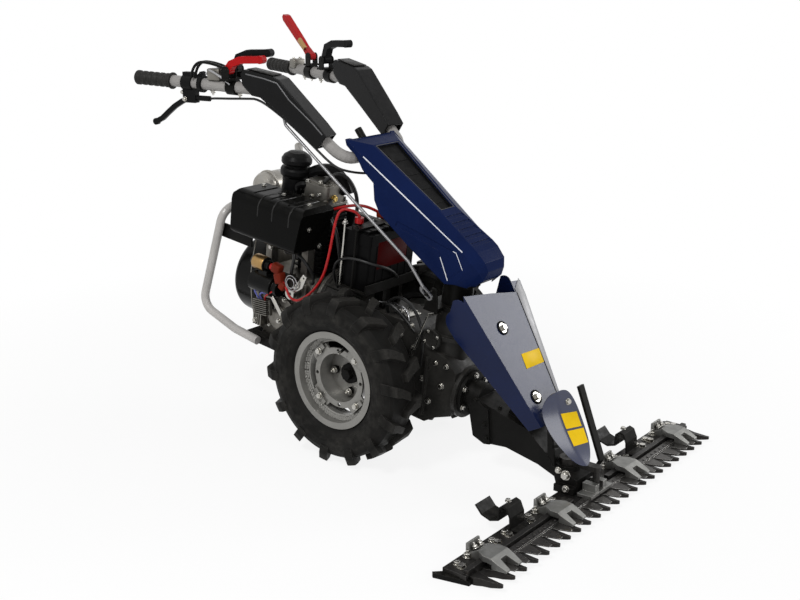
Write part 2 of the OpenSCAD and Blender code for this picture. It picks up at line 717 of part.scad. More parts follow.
module battery() {
    x0 = battery_x0 - battery_l;
    z1 = battery_h - 16;
    color("#1b1c1f") tractor() translate([x0, battery_y0, battery_z]) {
        linear_extrude(z1) polygon(round_rect(0, 0, battery_l, battery_w, 5));
        translate([-2, -2, z1 - 34]) linear_extrude(34)
            polygon(round_rect(0, 0, battery_l + 4, battery_w + 4, 6));
        translate([16, 8, z1 - 1]) cube([battery_l - 32, battery_w - 16, 9]);
        for (y = [30, battery_w - 30]) translate([22, y, z1 + 7]) cylinder(d1 = 20, d2 = 17, h = 9);
        for (k = [0:5]) translate([battery_l - 22, 30 + k * (battery_w - 60) / 5, z1 + 3])
            cylinder(d = 18, h = 7);
        for (k = [1:5]) translate([battery_l - 1, k * battery_w / 6 - 3, 6]) cube([3, 6, z1 - 44]);
    }
}

module battery_carrier() {
    x0 = battery_x0 - battery_l;
    y1 = battery_y0 + battery_w;
    zt = battery_z + battery_h - 8;
    color("#2e3033") tractor() {
        translate([x0 - 8, battery_y0 - 14, battery_z - tray_t]) cube([battery_l + 16, battery_w + 28,
            tray_t]);
        translate([x0 - 8, battery_y0 - 14, battery_z - 1]) cube([4, battery_w + 28, 26]);
        translate([battery_x0 + 4, battery_y0 - 14, battery_z - 1]) cube([4, battery_w + 28, 26]);
        for (y = [-44, 30]) translate([box_rear + 14, y, box_top]) cube([30, 14,
            battery_z - tray_t - box_top + 1]);
        for (y = [battery_y0 - 9, y1 + 9]) translate([battery_x0 - battery_l / 2, y, battery_z - 3])
            cylinder(d = 7, h = zt - battery_z + 18);
        translate([battery_x0 - battery_l / 2 - 11, battery_y0 - 15, zt + gap])
            cube([22, battery_w + 30, 5]);
        for (y = [battery_y0 - 9, y1 + 9]) translate([battery_x0 - battery_l / 2, y, zt + 4])
            cylinder(d = 15, h = 7, $fn = 6);
    }
}

module battery_cable() {
    e = [engine_x, 0, crank_z];
    zt = battery_z + battery_h;
    xt = battery_x0 - battery_l + 22;
    start = e + [starter_x + 70 + gap, starter_y, starter_z + 60];
    color("#c0281f") tractor() {
        cord([start, start + [14, -2, 0], [-290, -164, 172], [-262, -176, 148], [-226, -176, 148],
            [-180, -170, 190], [-148, -162, 249], [-138, -158, 311], [-136, -152, 365], [-138, -142, 415],
            [-136, -126, zt + 36], [xt - 20, battery_y0 + 20, zt + 34], [xt, battery_y0 + 30, zt + 22],
            [xt, battery_y0 + 30, zt + 8]], 8, 10);
        translate(start) rotate([0, 90, 0]) cylinder(d = 22, h = 16);
        translate([xt, battery_y0 + 30, zt + gap]) cylinder(d = 26, h = 16);
    }
}

// bumper

module bumper() {
    y = bumper_y;
    half = [[engine_x - crank_l + 62, -y, base_top - 12], [engine_x - crank_l - 40, -y, base_top - 6],
        [bumper_knee[0], -y, bumper_knee[1]], [bumper_top[0], -y, bumper_top[1]]];
    color("#9fa3a6") tractor() bent_tube(concat(half, [for (i = [3:-1:0]) mirror_y(half[i])]), 46,
        bumper_d);
}

module bumper_strut() {
    x1 = engine_x + tank_x0 - tank_l;
    zb = crank_z + tank_z;
    post = bumper_knee[0] + (bumper_top[0] - bumper_knee[0]) * (zb - 26) / bumper_top[1];
    color("#202225") tractor() {
        translate([post - 10, -bumper_y + bumper_d / 2 + gap, zb - 48]) cube([x1 + 54 - post, 6, 44]);
        translate([x1 + 6, -bumper_y + bumper_d / 2 + gap, zb - 5]) cube([38, 34, 5]);
    }
}

// steering column and hood

module column() {
    foot = turret_m + [34, 80];
    color("#232528") {
        column_frame() difference() {
            union() {
                translate([0, 0, gap]) cylinder(r = turret_r + 8, h = 14);
                translate([0, 0, 10]) cylinder(r = turret_r - 8, h = 72);
                translate([-34, -96, 4]) cube([34, 60, 10]);
            }
            translate([0, 0, -1]) cylinder(r = pivot_r + fit, h = 40);
        }
        hood_frame_roof() translate([4, -20, -62]) cube([36, 40, 62 - hood_t - 7.1 - gap]);
        machine() difference() {
            union() {
                slab(64) polygon([foot + [-54, -6], foot + [26, -14], foot + [30, 24], yoke + [18, 12],
                    yoke + [-8, -22]]);
                translate([yoke[0], 0, yoke[1]]) rotate([90, 0, 0])
                    cylinder(d = bar_d + 10, h = 90, center = true);
                for (y = [lock_y - 11, lock_y + 11]) translate([lock_p[0], y, lock_p[1]])
                    rotate([90, 0, 0]) linear_extrude(5, center = true)
                        polygon(stadium([0, 0], [22, -3], 18));
                translate([lock_p[0], lock_y, lock_p[1]]) rotate([90, 0, 0])
                    cylinder(d = 8 - 2 * fit, h = 26, center = true);
                translate([0, -93, 0]) slab(6) polygon([turret_m + [-44, 8], turret_m + [4, 2],
                    rod_pin + [9, 4], rod_pin + [-7, 9]]);
                translate([rod_pin[0], -92, rod_pin[1]]) rotate([90, 0, 0])
                    cylinder(d = 8, h = rod_y - 92 + 8);
            }
            translate([yoke[0], 0, yoke[1]]) rotate([90, 0, 0])
                cylinder(d = bar_d + 2 * gap, h = 100, center = true);
        }
    }
}

module hood_frame_roof() {
    hood_frame() translate([roof_u, 0, roof_v]) rotate([0, roof_pitch, 0]) children();
}

// a solid through stations of six points each
module hood_solid(rings) {
    n = len(rings);
    faces = concat([[0, 5, 1], [1, 5, 4], [1, 4, 2], [2, 4, 3]],
        [for (i = [0:n - 2]) for (k = [0:5]) let (a = i * 6 + k, b = i * 6 + (k + 1) % 6)
            each [[a, b, b + 6], [a, b + 6, a + 6]]],
        [for (f = [[0, 1, 5], [1, 4, 5], [1, 2, 4], [2, 3, 4]]) [for (i = f) (n - 1) * 6 + i]]);
    polyhedron([for (r = rings) each r], faces, convexity = 4);
}

module hood() {
    t = hood_t;
    outer = concat([for (i = [0:len(hood_low) - 1]) let (q = hood_low[i])
        [[q[0], crease_at(q[0])[1], q[1]], crease_at(i == 0 ? 0 : q[0]), roof_at(i == 0 ? 0 : q[0])]],
        hood_nose);
    last = len(outer) - 1;
    inner = [for (i = [0:last]) let (q = outer[i], back = i == 0 ? 20 : i == last ? t : 0)
        [[q[0][0] - back, q[0][1] - t, q[0][2] - 70], [q[1][0] - back, q[1][1] - t, q[1][2] - t],
            [q[2][0] - back, q[2][1] - t, q[2][2] - t]]];
    color("#1a2340") difference() {
        hood_frame() hood_solid([for (q = outer) hood_ring(q)]);
        hood_frame() hood_solid([for (q = inner) hood_ring(q)]);
        hood_frame_roof() linear_extrude(20, center = true) panel_shape(6, 11, 9.5);
        hood_frame() for (k = [0:4]) translate([359 + k * 27, -38 - k, roof_at(365 + k * 27)[2] - 2])
            cube([12, 76 + 2 * k, 10]);
        for (m = [-1, 1]) hood_frame() side(m) translate([0, -hood_half - 3, 0])
            rotate([0, 0, atan(0.077)]) translate([0, 1.8, 0]) rotate([90, 0, 0]) linear_extrude(20)
                polygon([for (p = wedge) [p[0] * hood_l, p[1]]]);
        hood_frame() translate([tube_u, 0, tube_v]) rotate([90, 0, 0])
            cylinder(d = bar_d + 8, h = big, center = true);
    }
}

// the roof's outline drawn in from its ends, its wide end and its narrow end
module panel_shape(e, wide, narrow) {
    polygon([[e, wide - roof_half], [roof_l - e, narrow - roof_end], [roof_l - e, roof_end - narrow],
        [e, roof_half - wide]]);
}

module hood_panel() {
    z = -hood_t - 4.1;
    color("#0c0d10") hood_frame_roof() {
        translate([0, 0, z]) linear_extrude(4) difference() {
            panel_shape(1, 6, 5);
            panel_shape(6, 11, 9.5);
        }
        translate([0, 0, z - 3]) linear_extrude(3.5) panel_shape(1, 6, 5);
        for (k = [0:3]) translate([44 + k * 58, -30 + k * 3, z]) cube([26, 60 - k * 6, 2]);
    }
}

module handlebar_tube() {
    e = [yoke[0], -elbow[1] + 14, yoke[1]];
    half = [arm_at(handle_l - 4, 0, grip_z), arm_at(bend[0], 0, bend[1]), e];
    color("#a4a8ab") machine() bent_tube(concat(half, [mirror_y(half[2]), mirror_y(half[1]),
        mirror_y(half[0])]), 52, bar_d);
}

module arm_shell(s) {
    color("#15161a") arm(s) difference() {
        slab(shell_w) polygon(shell_outer);
        slab(shell_w - 8) polygon(shell_inner);
        bent_core(bar_d + 2 * gap);
        if (s < 0) translate([rod_top[0] - 44, rod_top[1] - 10, 20]) cube([70, 20, 75]);
    }
}

// the tube's line inside a shell, as a cutter
module bent_core(d) {
    rotate([90, 0, 0]) {
        translate([bend[0], bend[1]]) rotate([0, 90, rise]) cylinder(d = d, h = 300);
        translate([bend[0], bend[1]]) rotate([0, 90, 180 + leg_a]) cylinder(d = d, h = 400);
    }
}

module grips() {
    for (s = [-1, 1]) color("#111214") arm(s) translate([handle_l, 0, grip_z])
        rotate([0, -90 - rise, 0]) difference() {
            rotate_extrude() polygon(concat([[0, 0], [grip_d / 2 - 3, 0], [grip_d / 2, 3], [grip_d / 2,
                12],
                [grip_d / 2 - 3, 15]], [for (k = [0:4]) each [[grip_d / 2 - 3.5, 20 + k * 21],
                    [grip_d / 2 - 0.5, 26 + k * 21],
                [grip_d / 2 - 0.5, 34 + k * 21]]], [[grip_d / 2 - 3, grip_l - 6], [grip_d / 2 + 3,
                    grip_l - 4],
                [grip_d / 2 + 3, grip_l], [0, grip_l]]));
            translate([0, 0, 4]) cylinder(d = bar_d + gap, h = grip_l);
        }
}

// controls

// height of the handle tube's middle at a distance along the arm
function tube_z(x) = bend[1] + (x - bend[0]) * tan(rise);

module tube_clamp(x, w) {
    translate([x, 0, tube_z(x)]) rotate([0, 90 - rise, 0]) difference() {
        cylinder(d = bar_d + 12, h = w, center = true);
        cylinder(d = bar_d + gap, h = w + 10, center = true);
    }
}

module lever_ears(x, z, ys) {
    zb = tube_z(x) + bar_d / 2 + 3;
    translate([x - 15, min(ys) - 7, zb]) cube([30, max(ys) - min(ys) + 14, 6]);
    for (y = ys) translate([x, y, 0]) rotate([90, 0, 0]) linear_extrude(4, center = true) {
        translate([-12, zb + 5]) square([24, z - zb - 5]);
        translate([0, z]) circle(d = 24);
    }
}

module lever_brackets() {
    for (s = [-1, 1]) color("#8f9396") arm(s) {
        difference() {
            tube_clamp(lever_s, 30);
            translate([lever_s - 30, -60, tube_z(lever_s) + bar_d / 2 + 3]) cube([60, 120, 60]);
        }
        lever_ears(lever_s, lever_z, s < 0 ? [-38, 0, 38] : [-38, 0]);
        translate([lever_s, s < 0 ? 41 : 3, lever_z]) rotate([90, 0, 0])
            cylinder(d = pin_d - 2 * fit, h = s < 0 ? 82 : 44);
    }
    color("#8f9396") arm(1) {
        difference() {
            tube_clamp(gear_s, 30);
            translate([gear_s - 30, -60, tube_z(gear_s) + bar_d / 2 + 3]) cube([60, 120, 60]);
        }
        lever_ears(gear_s, gear_z, [-14, 14]);
        translate([gear_s, 17, gear_z]) rotate([90, 0, 0]) cylinder(d = pin_d - 2 * fit, h = 34);
    }
}

// a hand lever on a cross pin, from its pivot up and forward
module hand_lever(y, w, top, reach) {
    p = [[4, -4], [-14, top - 12], [-46, top], [-reach, top + 3]];
    translate([lever_s, y, lever_z]) rotate([90, 0, 0]) difference() {
        union() {
            cylinder(d = 26, h = w, center = true);
            linear_extrude(w, center = true) polygon(ribbon(p, 20));
            translate([-reach, top + 3, 0]) cylinder(d = 23, h = w - 2, center = true);
        }
        cylinder(d = pin_d + 2 * fit, h = 60, center = true);
    }
}

module clutch_lever() {
    color("#c3201c") arm(-1) hand_lever(19, 24, 30, 112);
}

module right_steer_lever() {
    color("#16171a") arm(-1) hand_lever(-19, 24, 46, 114);
}

module left_steer_lever() {
    color("#16171a") arm(1) hand_lever(-19, 24, 52, 114);
}

module brake_perch() {
    z = tube_z(brake_s);
    color("#17181b") arm(-1) difference() {
        union() {
            tube_clamp(brake_s, 34);
            translate([brake_s - 26, -11, z - 58]) cube([44, 22, 42]);
            translate([brake_s - 72, 0, z - 44]) rotate([0, 90, 0]) cylinder(d = 16, h = 50);
            translate([brake_s - 17, -9, z + bar_d / 2 + 2]) cube([34, 18, 12]);
        }
        translate([brake_s, 0, z]) rotate([0, 90 - rise, 0])
            cylinder(d = bar_d + gap, h = 100, center = true);
        translate([brake_s - 8, -6, z - 70]) cube([60, 12, 50]);
    }
    color("#17181b") arm(-1) translate([brake_s + 6, 0, z - 46]) rotate([90, 0, 0])
        cylinder(d = 8 - 2 * fit, h = 22, center = true);
}

module brake_lever() {
    z = tube_z(brake_s) - 46;
    p = [[-3, 1], [22, -10], [50, -26], [76, -46], [98, -64], [122, -76]];
    color("#111215") arm(-1) translate([brake_s + 6, 0, z]) rotate([90, 0, 0]) difference() {
        union() {
            cylinder(d = 18, h = 11, center = true);
            linear_extrude(11, center = true) polygon(ribbon(p, 15));
            translate([122, -76, 0]) cylinder(d = 20, h = 13, center = true);
        }
        cylinder(d = 8 + 2 * fit, h = 30, center = true);
    }
}

module throttle_lever() {
    z = tube_z(throttle_s);
    color("#1b1c1f") arm(-1) translate([throttle_s, 0, z]) rotate([0, 90 - rise, 0]) {
        difference() {
            union() {
                cylinder(d = bar_d + 16, h = 12, center = true);
                rotate([0, 0, 180]) translate([bar_d / 2 + 4, -8, -6]) cube([14, 16, 12]);
                translate([-bar_d / 2 - 14, -8, 0]) rotate([0, 36, 0]) translate([-4, 0, -4])
                    cube([8, 16, 58]);
            }
            cylinder(d = bar_d + 2 * gap, h = 200, center = true);
        }
    }
}

module gear_lever() {
    l = gear_lever_l;
    color("#c8231d") arm(1) difference() {
        translate([gear_s, 0, gear_z]) rotate([90, 0, 0]) linear_extrude(20, center = true) rotate(40)
            union() {
            circle(d = 24);
            polygon([[0, -11], [40, -7], [70, -9], [l - 12, -11], [l, -5], [l, 5], [l - 12, 11],
                [70, 9], [40, 7], [0, 11]]);
        }
        translate([gear_s, 0, gear_z]) rotate([90, 0, 0])
            cylinder(d = pin_d + 2 * fit, h = 60, center = true);
    }
}

module lock_lever() {
    p = [lock_p[0], lock_y, lock_p[1]];
    color("#101113") machine() difference() {
        union() {
            rod(p, p + [-26, 0, 34], 10);
            translate(p + [-22, 0, 28]) rotate([0, -38, 0]) cylinder(d = 22, h = 36);
            translate(p) rotate([90, 0, 0]) cylinder(d = 18, h = 16, center = true);
        }
        translate(p) rotate([90, 0, 0]) cylinder(d = 8 + 2 * fit, h = 30, center = true);
    }
}

module shift_rod() {
    a = arm_at(rod_top[0], rod_top[1], rod_top[2]);
    b = [rod_bend[0], -rod_y, rod_bend[1]];
    c = [rod_pin[0], -rod_y, rod_pin[1]];
    d = unit(c - b);
    q = unit([b[0] - a[0], b[2] - a[2]]);
    color("#cdd0d2") machine() {
        bent_tube([a + [-14, 0, 46], a, b, c - 20 * d], 12, 9);
        translate([0, -rod_y, 0]) slab(6) difference() {
            polygon(stadium(rod_pin - 18 * q, rod_pin + 12 * q, 19));
            polygon(stadium(rod_pin - 13 * q, rod_pin + 13 * q, 8.8));
        }
    }
}

module brake_cable() {
    z = tube_z(brake_s) - 44;
    color("#101113") arm(-1) cord([[brake_s - 72 - gap, 0, z], [brake_s - 86, 0, z + 2],
        [on_tube(0.427), 4, 102], [on_tube(0.258), 10, 106], [on_tube(0.132), 15, 108], [150, 16, 72],
        [80, 16, 22], [20, 16, -26], [-10, 14, -52], [-40, 10, -72], [-60, -20, -84]], 7, 8);
}

// mower arm and shields

module mower_arm() {
    t = sheet_t;
    h1 = bar_x + 46;
    color("#202123") {
        tractor() {
            translate([box_front, 0, 0]) rotate([0, 90, 0]) cylinder(r = 66, h = 12);
            translate([box_front, 0, 0]) rotate([0, 90, 0]) cylinder(r = 44, h = neck_l + 24);
        }
        machine() {
            slab(104) polygon([[330, 190], [346, 107], [384, 91], [404, 94], [396, 196], [352, 216]]);
            slab(88) polygon([[346, 107], [384, 91], [454, 97], [559, 76], [bar_x - 24, 56],
                [bar_x - 14, head_z0],
                [h1, head_z0], [h1, 62], [bar_x, 80], [bar_x - 32, 84], [bar_x - 48, 112], [520, 168],
                    [352, 216]]);
            translate([bar_x - 14, head_y[0], head_z0]) cube([60, head_y[1] - head_y[0], 20]);
            translate([drive_pivot_x, 0, head_z0 + 10]) cylinder(r = 34, h = 52);
            translate([drive_pivot_x, 0, head_z0 + 10]) cylinder(r = 11, h = 70);
            slab(40) polygon([[436, 180], [500, 150], shield_at(335, -t - 4), shield_at(285, -t - 4)]);
            translate([0, -37, 0]) slab(10) polygon([[bar_x - 48, 96], [bar_x - 24, 74],
                lower_at(lower_tab + 14, lower_seat), lower_at(lower_tab - 14, lower_seat)]);
        }
        shield_frame() translate([95, -42, -t - 8]) cube([250, 62, 8]);
    }
}

module shield_frame() {
    machine() translate([shield_a[0], 0, shield_a[1]]) rotate([0, shield_tilt, 0]) children();
}

module shield_front() {
    t = sheet_t;
    color("#20294a") shield_frame() {
        translate([0, 0, -t]) linear_extrude(t) polygon([[0, -shield_top], [shield_len, -shield_foot],
            [shield_len, shield_foot], [40, shield_top - 40 * tan(taper)], [18, 0]]);
        translate([0, -shield_top, 0]) rotate([0, 0, taper]) translate([0, t, -t]) rotate([90, 0, 0])
            linear_extrude(t)
            polygon(concat([[0, t], [shield_len / cos(taper), t], [shield_len / cos(taper) - 4, -40],
                [90, -shield_side_w]], turn([54, -shield_side_w + 36], 36, 270, 180, 6),
                turn([26, -36], 30, 180, 110, 4)));
    }
}

module shield_side() {
    t = sheet_t;
    l = shield_len / cos(taper);
    color("#1c2542") shield_frame() mirror([0, 1, 0]) translate([0, -shield_top, 0]) rotate([0, 0,
        taper]) {
        translate([0, t, -2 * t]) rotate([90, 0, 0]) linear_extrude(t)
            polygon(concat([[l, t], [l - 4, -40], [90, -shield_side_w]],
                turn([54, -shield_side_w + 36], 36, 270, 180, 6), turn([4, -24], 26, 180, 90, 6)));
        translate([0, 0, -2 * t]) linear_extrude(t) polygon([[6, -40], [44, -40], [l - 8, -13],
            [l - 4, 30], [44, 34], [44, t], [6, t]]);
    }
}

// two-facet cover over the knife drive, in a frame that runs down its fold
module shield_lower() {
    t = sheet_t;
    color("#222a48") machine() translate([lower_top[0], 0, lower_top[1]]) rotate([0, lower_tilt, 0]) {
        intersection() {
            rotate([90, 0, 90]) linear_extrude(lower_len + 10) polygon([[-8, 0], [30, -12],
                [30, -12 - t], [-8, -1.3 * t], [-50, -38 - 1.3 * t], [-50, -38]]);
            linear_extrude(200, center = true) polygon(concat(turn([34, -24], 24, 240, 180, 6),
                [[4, -8], [16, 24], [30, 30], [150, 26], [lower_len, 4], [lower_len + 6, -8], [150, -40]],
                turn([70, -24], 26, 300, 260, 3)));
        }
        translate([lower_tab - 14, -42, lower_seat]) cube([28, 10, -lower_seat - 31.2]);
    }
}

module shield_bolts() {
    color("#c9ccce") shield_frame() for (x = [118, 326]) translate([x, -22, 0]) {
        cylinder(d = 34, h = 2.5);
        translate([0, 0, 2]) hex_bolt(17, 9);
    }
}

module guard_strap() {
    x = bar_x + 46;
    color("#131416") machine() translate([0, head_y[1] - 12, 0]) slab(24) polygon([[x - 20,
        head_z0 + 20], [x, head_z0 + 20],
        [x, head_z0 + 27], [x - 6, head_z0 + 27], [x + 16, 92], [622, 290], [614, 287], [x + 8, 90],
            [x - 14, head_z0 + 27],
        [x - 20, head_z0 + 27]]);
}

// cutter bar

module cutter_bar() {
    color("#3a3b3d") machine() {
        translate([bar_x, -bar_half - 28, bar_z]) cube([bar_w, 2 * bar_half + 56, bar_t]);
        for (m = [-1, 1]) translate([bar_front - 14, m > 0 ? 92 : -bar_half - 20, bar_z + bar_t - 1])
            cube([14, bar_half - 72, rail_h + 1]);
    }
}

module finger() {
    w = finger_w / 2;
    intersection() {
        translate([0, 0, -1]) linear_extrude(60) polygon([[bar_front - 36, -w], [bar_front + 12, -w],
            [bar_front + 34, -w * 0.55], [tip_x - 6, -4], [tip_x, -2], [tip_x, 2], [tip_x - 6, 4],
            [bar_front + 34, w * 0.55], [bar_front + 12, w], [bar_front - 36, w]]);
        slab(100) polygon([[bar_front - 36, 0], [bar_front - 36, bar_z], [bar_front, bar_z],
            [bar_front, knife_z - gap], [tip_x - 10, knife_z - gap], [tip_x, knife_z + 1],
            [tip_x, bar_z], [tip_x - 30, 4], [bar_front + 20, 0]]);
    }
}

module fingers() {
    color("#48494b") machine() for (i = [0:finger_count - 1]) translate([0,
        -bar_half + i * finger_pitch, 0]) finger();
}

module knife() {
    n = finger_count - 3;
    p = finger_pitch;
    y0 = -n / 2 * p;
    x0 = bar_front + 6;
    x1 = bar_front + 24;
    x2 = tip_x - 12;
    color("#55575a") machine() {
        translate([0, 0, knife_z]) linear_extrude(blade_t) polygon(concat([[x0, -y0], [x0, y0]],
            [for (i = [0:n - 1]) each [[x1, y0 + i * p], [x2, y0 + (i + 0.5) * p - 7],
                [x2, y0 + (i + 0.5) * p + 7]]], [[x1, -y0]]));
        translate([x0, y0, knife_top - 0.5]) cube([20, n * p, knife_back + 0.5]);
    }
}

module knife_head() {
    z = knife_top + knife_back;
    color("#b4b7b9") machine() difference() {
        union() {
            translate([drive_x - 24, -56, z]) cube([44, 112, 9]);
            translate([drive_x - 24, -30, z + 8]) cube([40, 60, 22]);
        }
        translate([drive_x - 40, -drive_pin_r - gap - 0.4, z + 9]) cube([80,
            2 * drive_pin_r + 2 * gap + 0.8, 60]);
    }
}

module drive_lever() {
    pin_z = knife_top + knife_back + 9 + gap;
    color("#6d7073") machine() translate([drive_pivot_x, 0, 0]) difference() {
        union() {
            translate([0, 0, drive_z]) linear_extrude(14) polygon(stadium([0, 0], [drive_r, 0], 26));
            translate([0, 0, drive_z]) cylinder(r = 24, h = 18);
            translate([drive_r, 0, pin_z]) cylinder(r = drive_pin_r, h = drive_z - pin_z + 1);
        }
        translate([0, 0, drive_z - 10]) cylinder(r = 11 + fit, h = 60);
    }
}

module knife_clip() {
    f = bar_front;
    z = head_z0;
    intersection() {
        slab(200) polygon([[bar_x + 10, z], [bar_x + 10, z + 34], [bar_x + 16, z + 36], [bar_x + 22,
            z + 14],
            [bar_x + 46, z + 26], [f + 22, z + 24], [f + 66, knife_top + 6], [f + 66,
                knife_top + gap + 0.1],
            [f + 26, knife_top + gap + 0.1], [f + 26, z + rail_h + gap], [f - 16, z + rail_h + gap],
                [f - 16, z]]);
        translate([0, 0, -1]) linear_extrude(200) polygon([[bar_x, -24], [f - 20, -24], [f, -36],
            [f + 40, -36],
            [f + 66, -32], [f + 66, -18], [f + 34, -12], [f + 34, 12], [f + 66, 18], [f + 66, 32],
            [f + 40, 36], [f, 36], [f - 20, 24], [bar_x, 24]]);
    }
}

module knife_clips() {
    color("#9a9ea1") machine() for (y = clip_y) translate([0, y, 0]) knife_clip();
}

module bar_bolts() {
    color("#b9bcbf") machine() for (i = [0:finger_count - 1]) {
        y = -bar_half + i * finger_pitch;
        near = min([for (c = clip_y) abs(c - y)]);
        runner_near = abs(abs(y) - runner_y);
        if (near > 36 && abs(y) > 100 && runner_near > 44) translate([bar_x + 36, y, bar_z + bar_t])
            hex_bolt(19, 9);
    }
}

module shoes() {
    color("#242527") machine() for (m = [-1, 1]) side(m) {
        linear_extrude(bar_z) polygon([[bar_x + 2, -bar_half - 20], [bar_x - 20, -shoe_y + 6],
            [bar_x - 14, -shoe_y],
            [bar_front + 8, -bar_half - 26], [bar_front + 8, -bar_half - 16], [bar_front - 40,
                -bar_half - 16]]);
        translate([0, -runner_y, 0]) slab(62) polygon(ribbon([for (q = runner) [bar_x + q[0], q[1]]], 5));
    }
}

// one line per sub-part
tyre(-1);  // right_tyre
tyre(1);  // left_tyre
rim(-1);  // right_rim
rim(1);  // left_rim
disc(-1);  // right_disc
disc(1);  // left_disc
hub(-1);  // right_hub
hub(1);  // left_hub
gearbox_case();
bell_housing();
engine_frame();
crankcase();
cylinder_block();  // cylinder
cylinder_head();
rocker_cover();
fan_cowl();
fuel_tank();
fuel_cap();
air_filter();
muffler();
starter_motor();
injection_pump();
speed_lever();
battery();
battery_carrier();
battery_cable();
bumper();
bumper_strut();
column();
hood();
hood_panel();
handlebar_tube();
arm_shell(-1);  // right_arm_shell
arm_shell(1);  // left_arm_shell
grips();
lever_brackets();
clutch_lever();
right_steer_lever();
left_steer_lever();
brake_perch();
brake_lever();
throttle_lever();
gear_lever();
lock_lever();
shift_rod();
brake_cable();
mower_arm();
shield_front();
shield_side();
shield_lower();
shield_bolts();
guard_strap();
cutter_bar();
fingers();
shoes();
knife();
knife_head();
drive_lever();
knife_clips();
bar_bolts();
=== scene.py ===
"""Finishes and fittings of a walk-behind sickle bar mower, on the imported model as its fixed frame."""
import math

import bmesh
import bpy
from bpy.props import FloatProperty, FloatVectorProperty, PointerProperty
from mathutils import Matrix, Vector


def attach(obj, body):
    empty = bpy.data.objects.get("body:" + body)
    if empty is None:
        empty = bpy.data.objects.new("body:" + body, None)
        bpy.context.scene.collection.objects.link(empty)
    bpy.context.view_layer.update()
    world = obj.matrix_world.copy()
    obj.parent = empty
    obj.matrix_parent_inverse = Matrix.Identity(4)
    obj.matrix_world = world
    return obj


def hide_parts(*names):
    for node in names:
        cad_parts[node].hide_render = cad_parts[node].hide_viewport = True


bl_info = {
    "name": "Sickle Bar Mower",
    "version": (1, 0, 0),
    "blender": (4, 5, 0),
    "location": "View3D > Sidebar > Mower",
    "description": "Finishes and fittings of a walk-behind sickle bar mower",
    "category": "Add Mesh",
}

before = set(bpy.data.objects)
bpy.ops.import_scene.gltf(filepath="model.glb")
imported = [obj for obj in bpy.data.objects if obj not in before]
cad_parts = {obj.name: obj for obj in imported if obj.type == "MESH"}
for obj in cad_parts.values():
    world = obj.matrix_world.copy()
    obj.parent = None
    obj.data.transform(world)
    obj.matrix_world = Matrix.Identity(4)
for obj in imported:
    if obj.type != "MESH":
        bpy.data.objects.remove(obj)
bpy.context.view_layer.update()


def at(*place):
    """A move to a place, in metres."""
    return Matrix.Translation(place)


def turned(degrees, axis):
    """A turn about one axis."""
    return Matrix.Rotation(math.radians(degrees), 4, axis)


# frames of the machine, in metres: the tilted tractor block, its engine, the hood, the arms, the shield
MID_X = 0.0188751
AXLE = Vector((-MID_X, 0.0, 0.25))
MACHINE = at(-MID_X, 0, 0)
TRACTOR = at(*AXLE) @ turned(7.5, "Y")
ENGINE = TRACTOR @ at(-0.215, 0, 0.11)
HOOD = MACHINE @ at(-0.07218, 0, 0.91062) @ turned(32.6, "Y")
RIGHT_ARM = MACHINE @ at(-0.10512, -0.146, 0.90735) @ turned(192, "Z")
LEFT_ARM = Matrix.Diagonal((1, -1, 1, 1)) @ RIGHT_ARM
ROOF = HOOD @ at(0.06, 0, 0.021) @ Matrix.Rotation(math.atan(0.063), 4, "Y")
SHIELD = MACHINE @ at(0.352, 0, 0.531) @ turned(56.386, "Y")

# directions: square to the tractor's deck, along it, and out of the right side
UP = TRACTOR.to_3x3() @ Vector((0, 0, 1))
AHEAD = TRACTOR.to_3x3() @ Vector((1, 0, 0))
NEAR = (0, -1, 0)

# stations down the lower cover: its near edge, its fold and its far edge
COVER = (((0.5649, -0.0401, 0.2819), (0.5789, -0.022, 0.2899), (0.5865, 0.0153, 0.2934)),
         ((0.5523, -0.0553, 0.2514), (0.5838, -0.022, 0.2567), (0.6006, 0.0366, 0.2543)),
         ((0.5575, -0.0572, 0.2223), (0.5914, -0.022, 0.227), (0.6128, 0.0441, 0.2202)),
         ((0.5775, -0.0561, 0.1853), (0.6109, -0.022, 0.1888), (0.6308, 0.0432, 0.1842)),
         ((0.6024, -0.0498, 0.1538), (0.6355, -0.022, 0.147), (0.6515, 0.0366, 0.146)),
         ((0.637, -0.0418, 0.1201), (0.6575, -0.022, 0.1204), (0.6689, 0.0155, 0.1177)),
         ((0.6654, -0.034, 0.1036), (0.6783, -0.022, 0.1031), (0.6809, -0.0118, 0.1031)))


def paint(name, words, value):
    """A colour that a user may change."""
    return FloatVectorProperty(name=name, description=words, default=value, size=3, min=0, max=1,
                               subtype="COLOR")


class MowerColours(bpy.types.PropertyGroup):
    """Colours of the mower's finishes."""
    navy: paint("Navy", "Paint of the hood and the shields", (0.0042, 0.0095, 0.043))
    black: paint("Black", "Paint of the tank and the cowl", (0.0028, 0.0028, 0.0026))
    cast_black: paint("Cast black", "Paint of the castings", (0.005, 0.0048, 0.0044))
    moulded_black: paint("Moulded black", "Plastic of the shells and the battery", (0.0042, 0.0042, 0.0044))
    rubber: paint("Rubber", "Tyres and grips", (0.0075, 0.0072, 0.0066))
    silver: paint("Silver", "Paint of the wheels", (0.23, 0.225, 0.21))
    grey: paint("Grey", "Paint of the bumper and the handlebar", (0.4, 0.385, 0.37))
    aluminium: paint("Aluminium", "Raw castings of the engine", (0.2, 0.19, 0.17))
    steel: paint("Steel", "Cutter bar, fingers and knife", (0.055, 0.052, 0.049))
    clip: paint("Clip", "Knife clips", (0.22, 0.22, 0.21))
    zinc: paint("Zinc", "Plated bolts and rods", (0.46, 0.45, 0.425))
    red: paint("Red", "Levers and battery cable", (0.33, 0.005, 0.006))
    yellow: paint("Yellow", "Bare plates on the shields", (0.72, 0.47, 0.01))


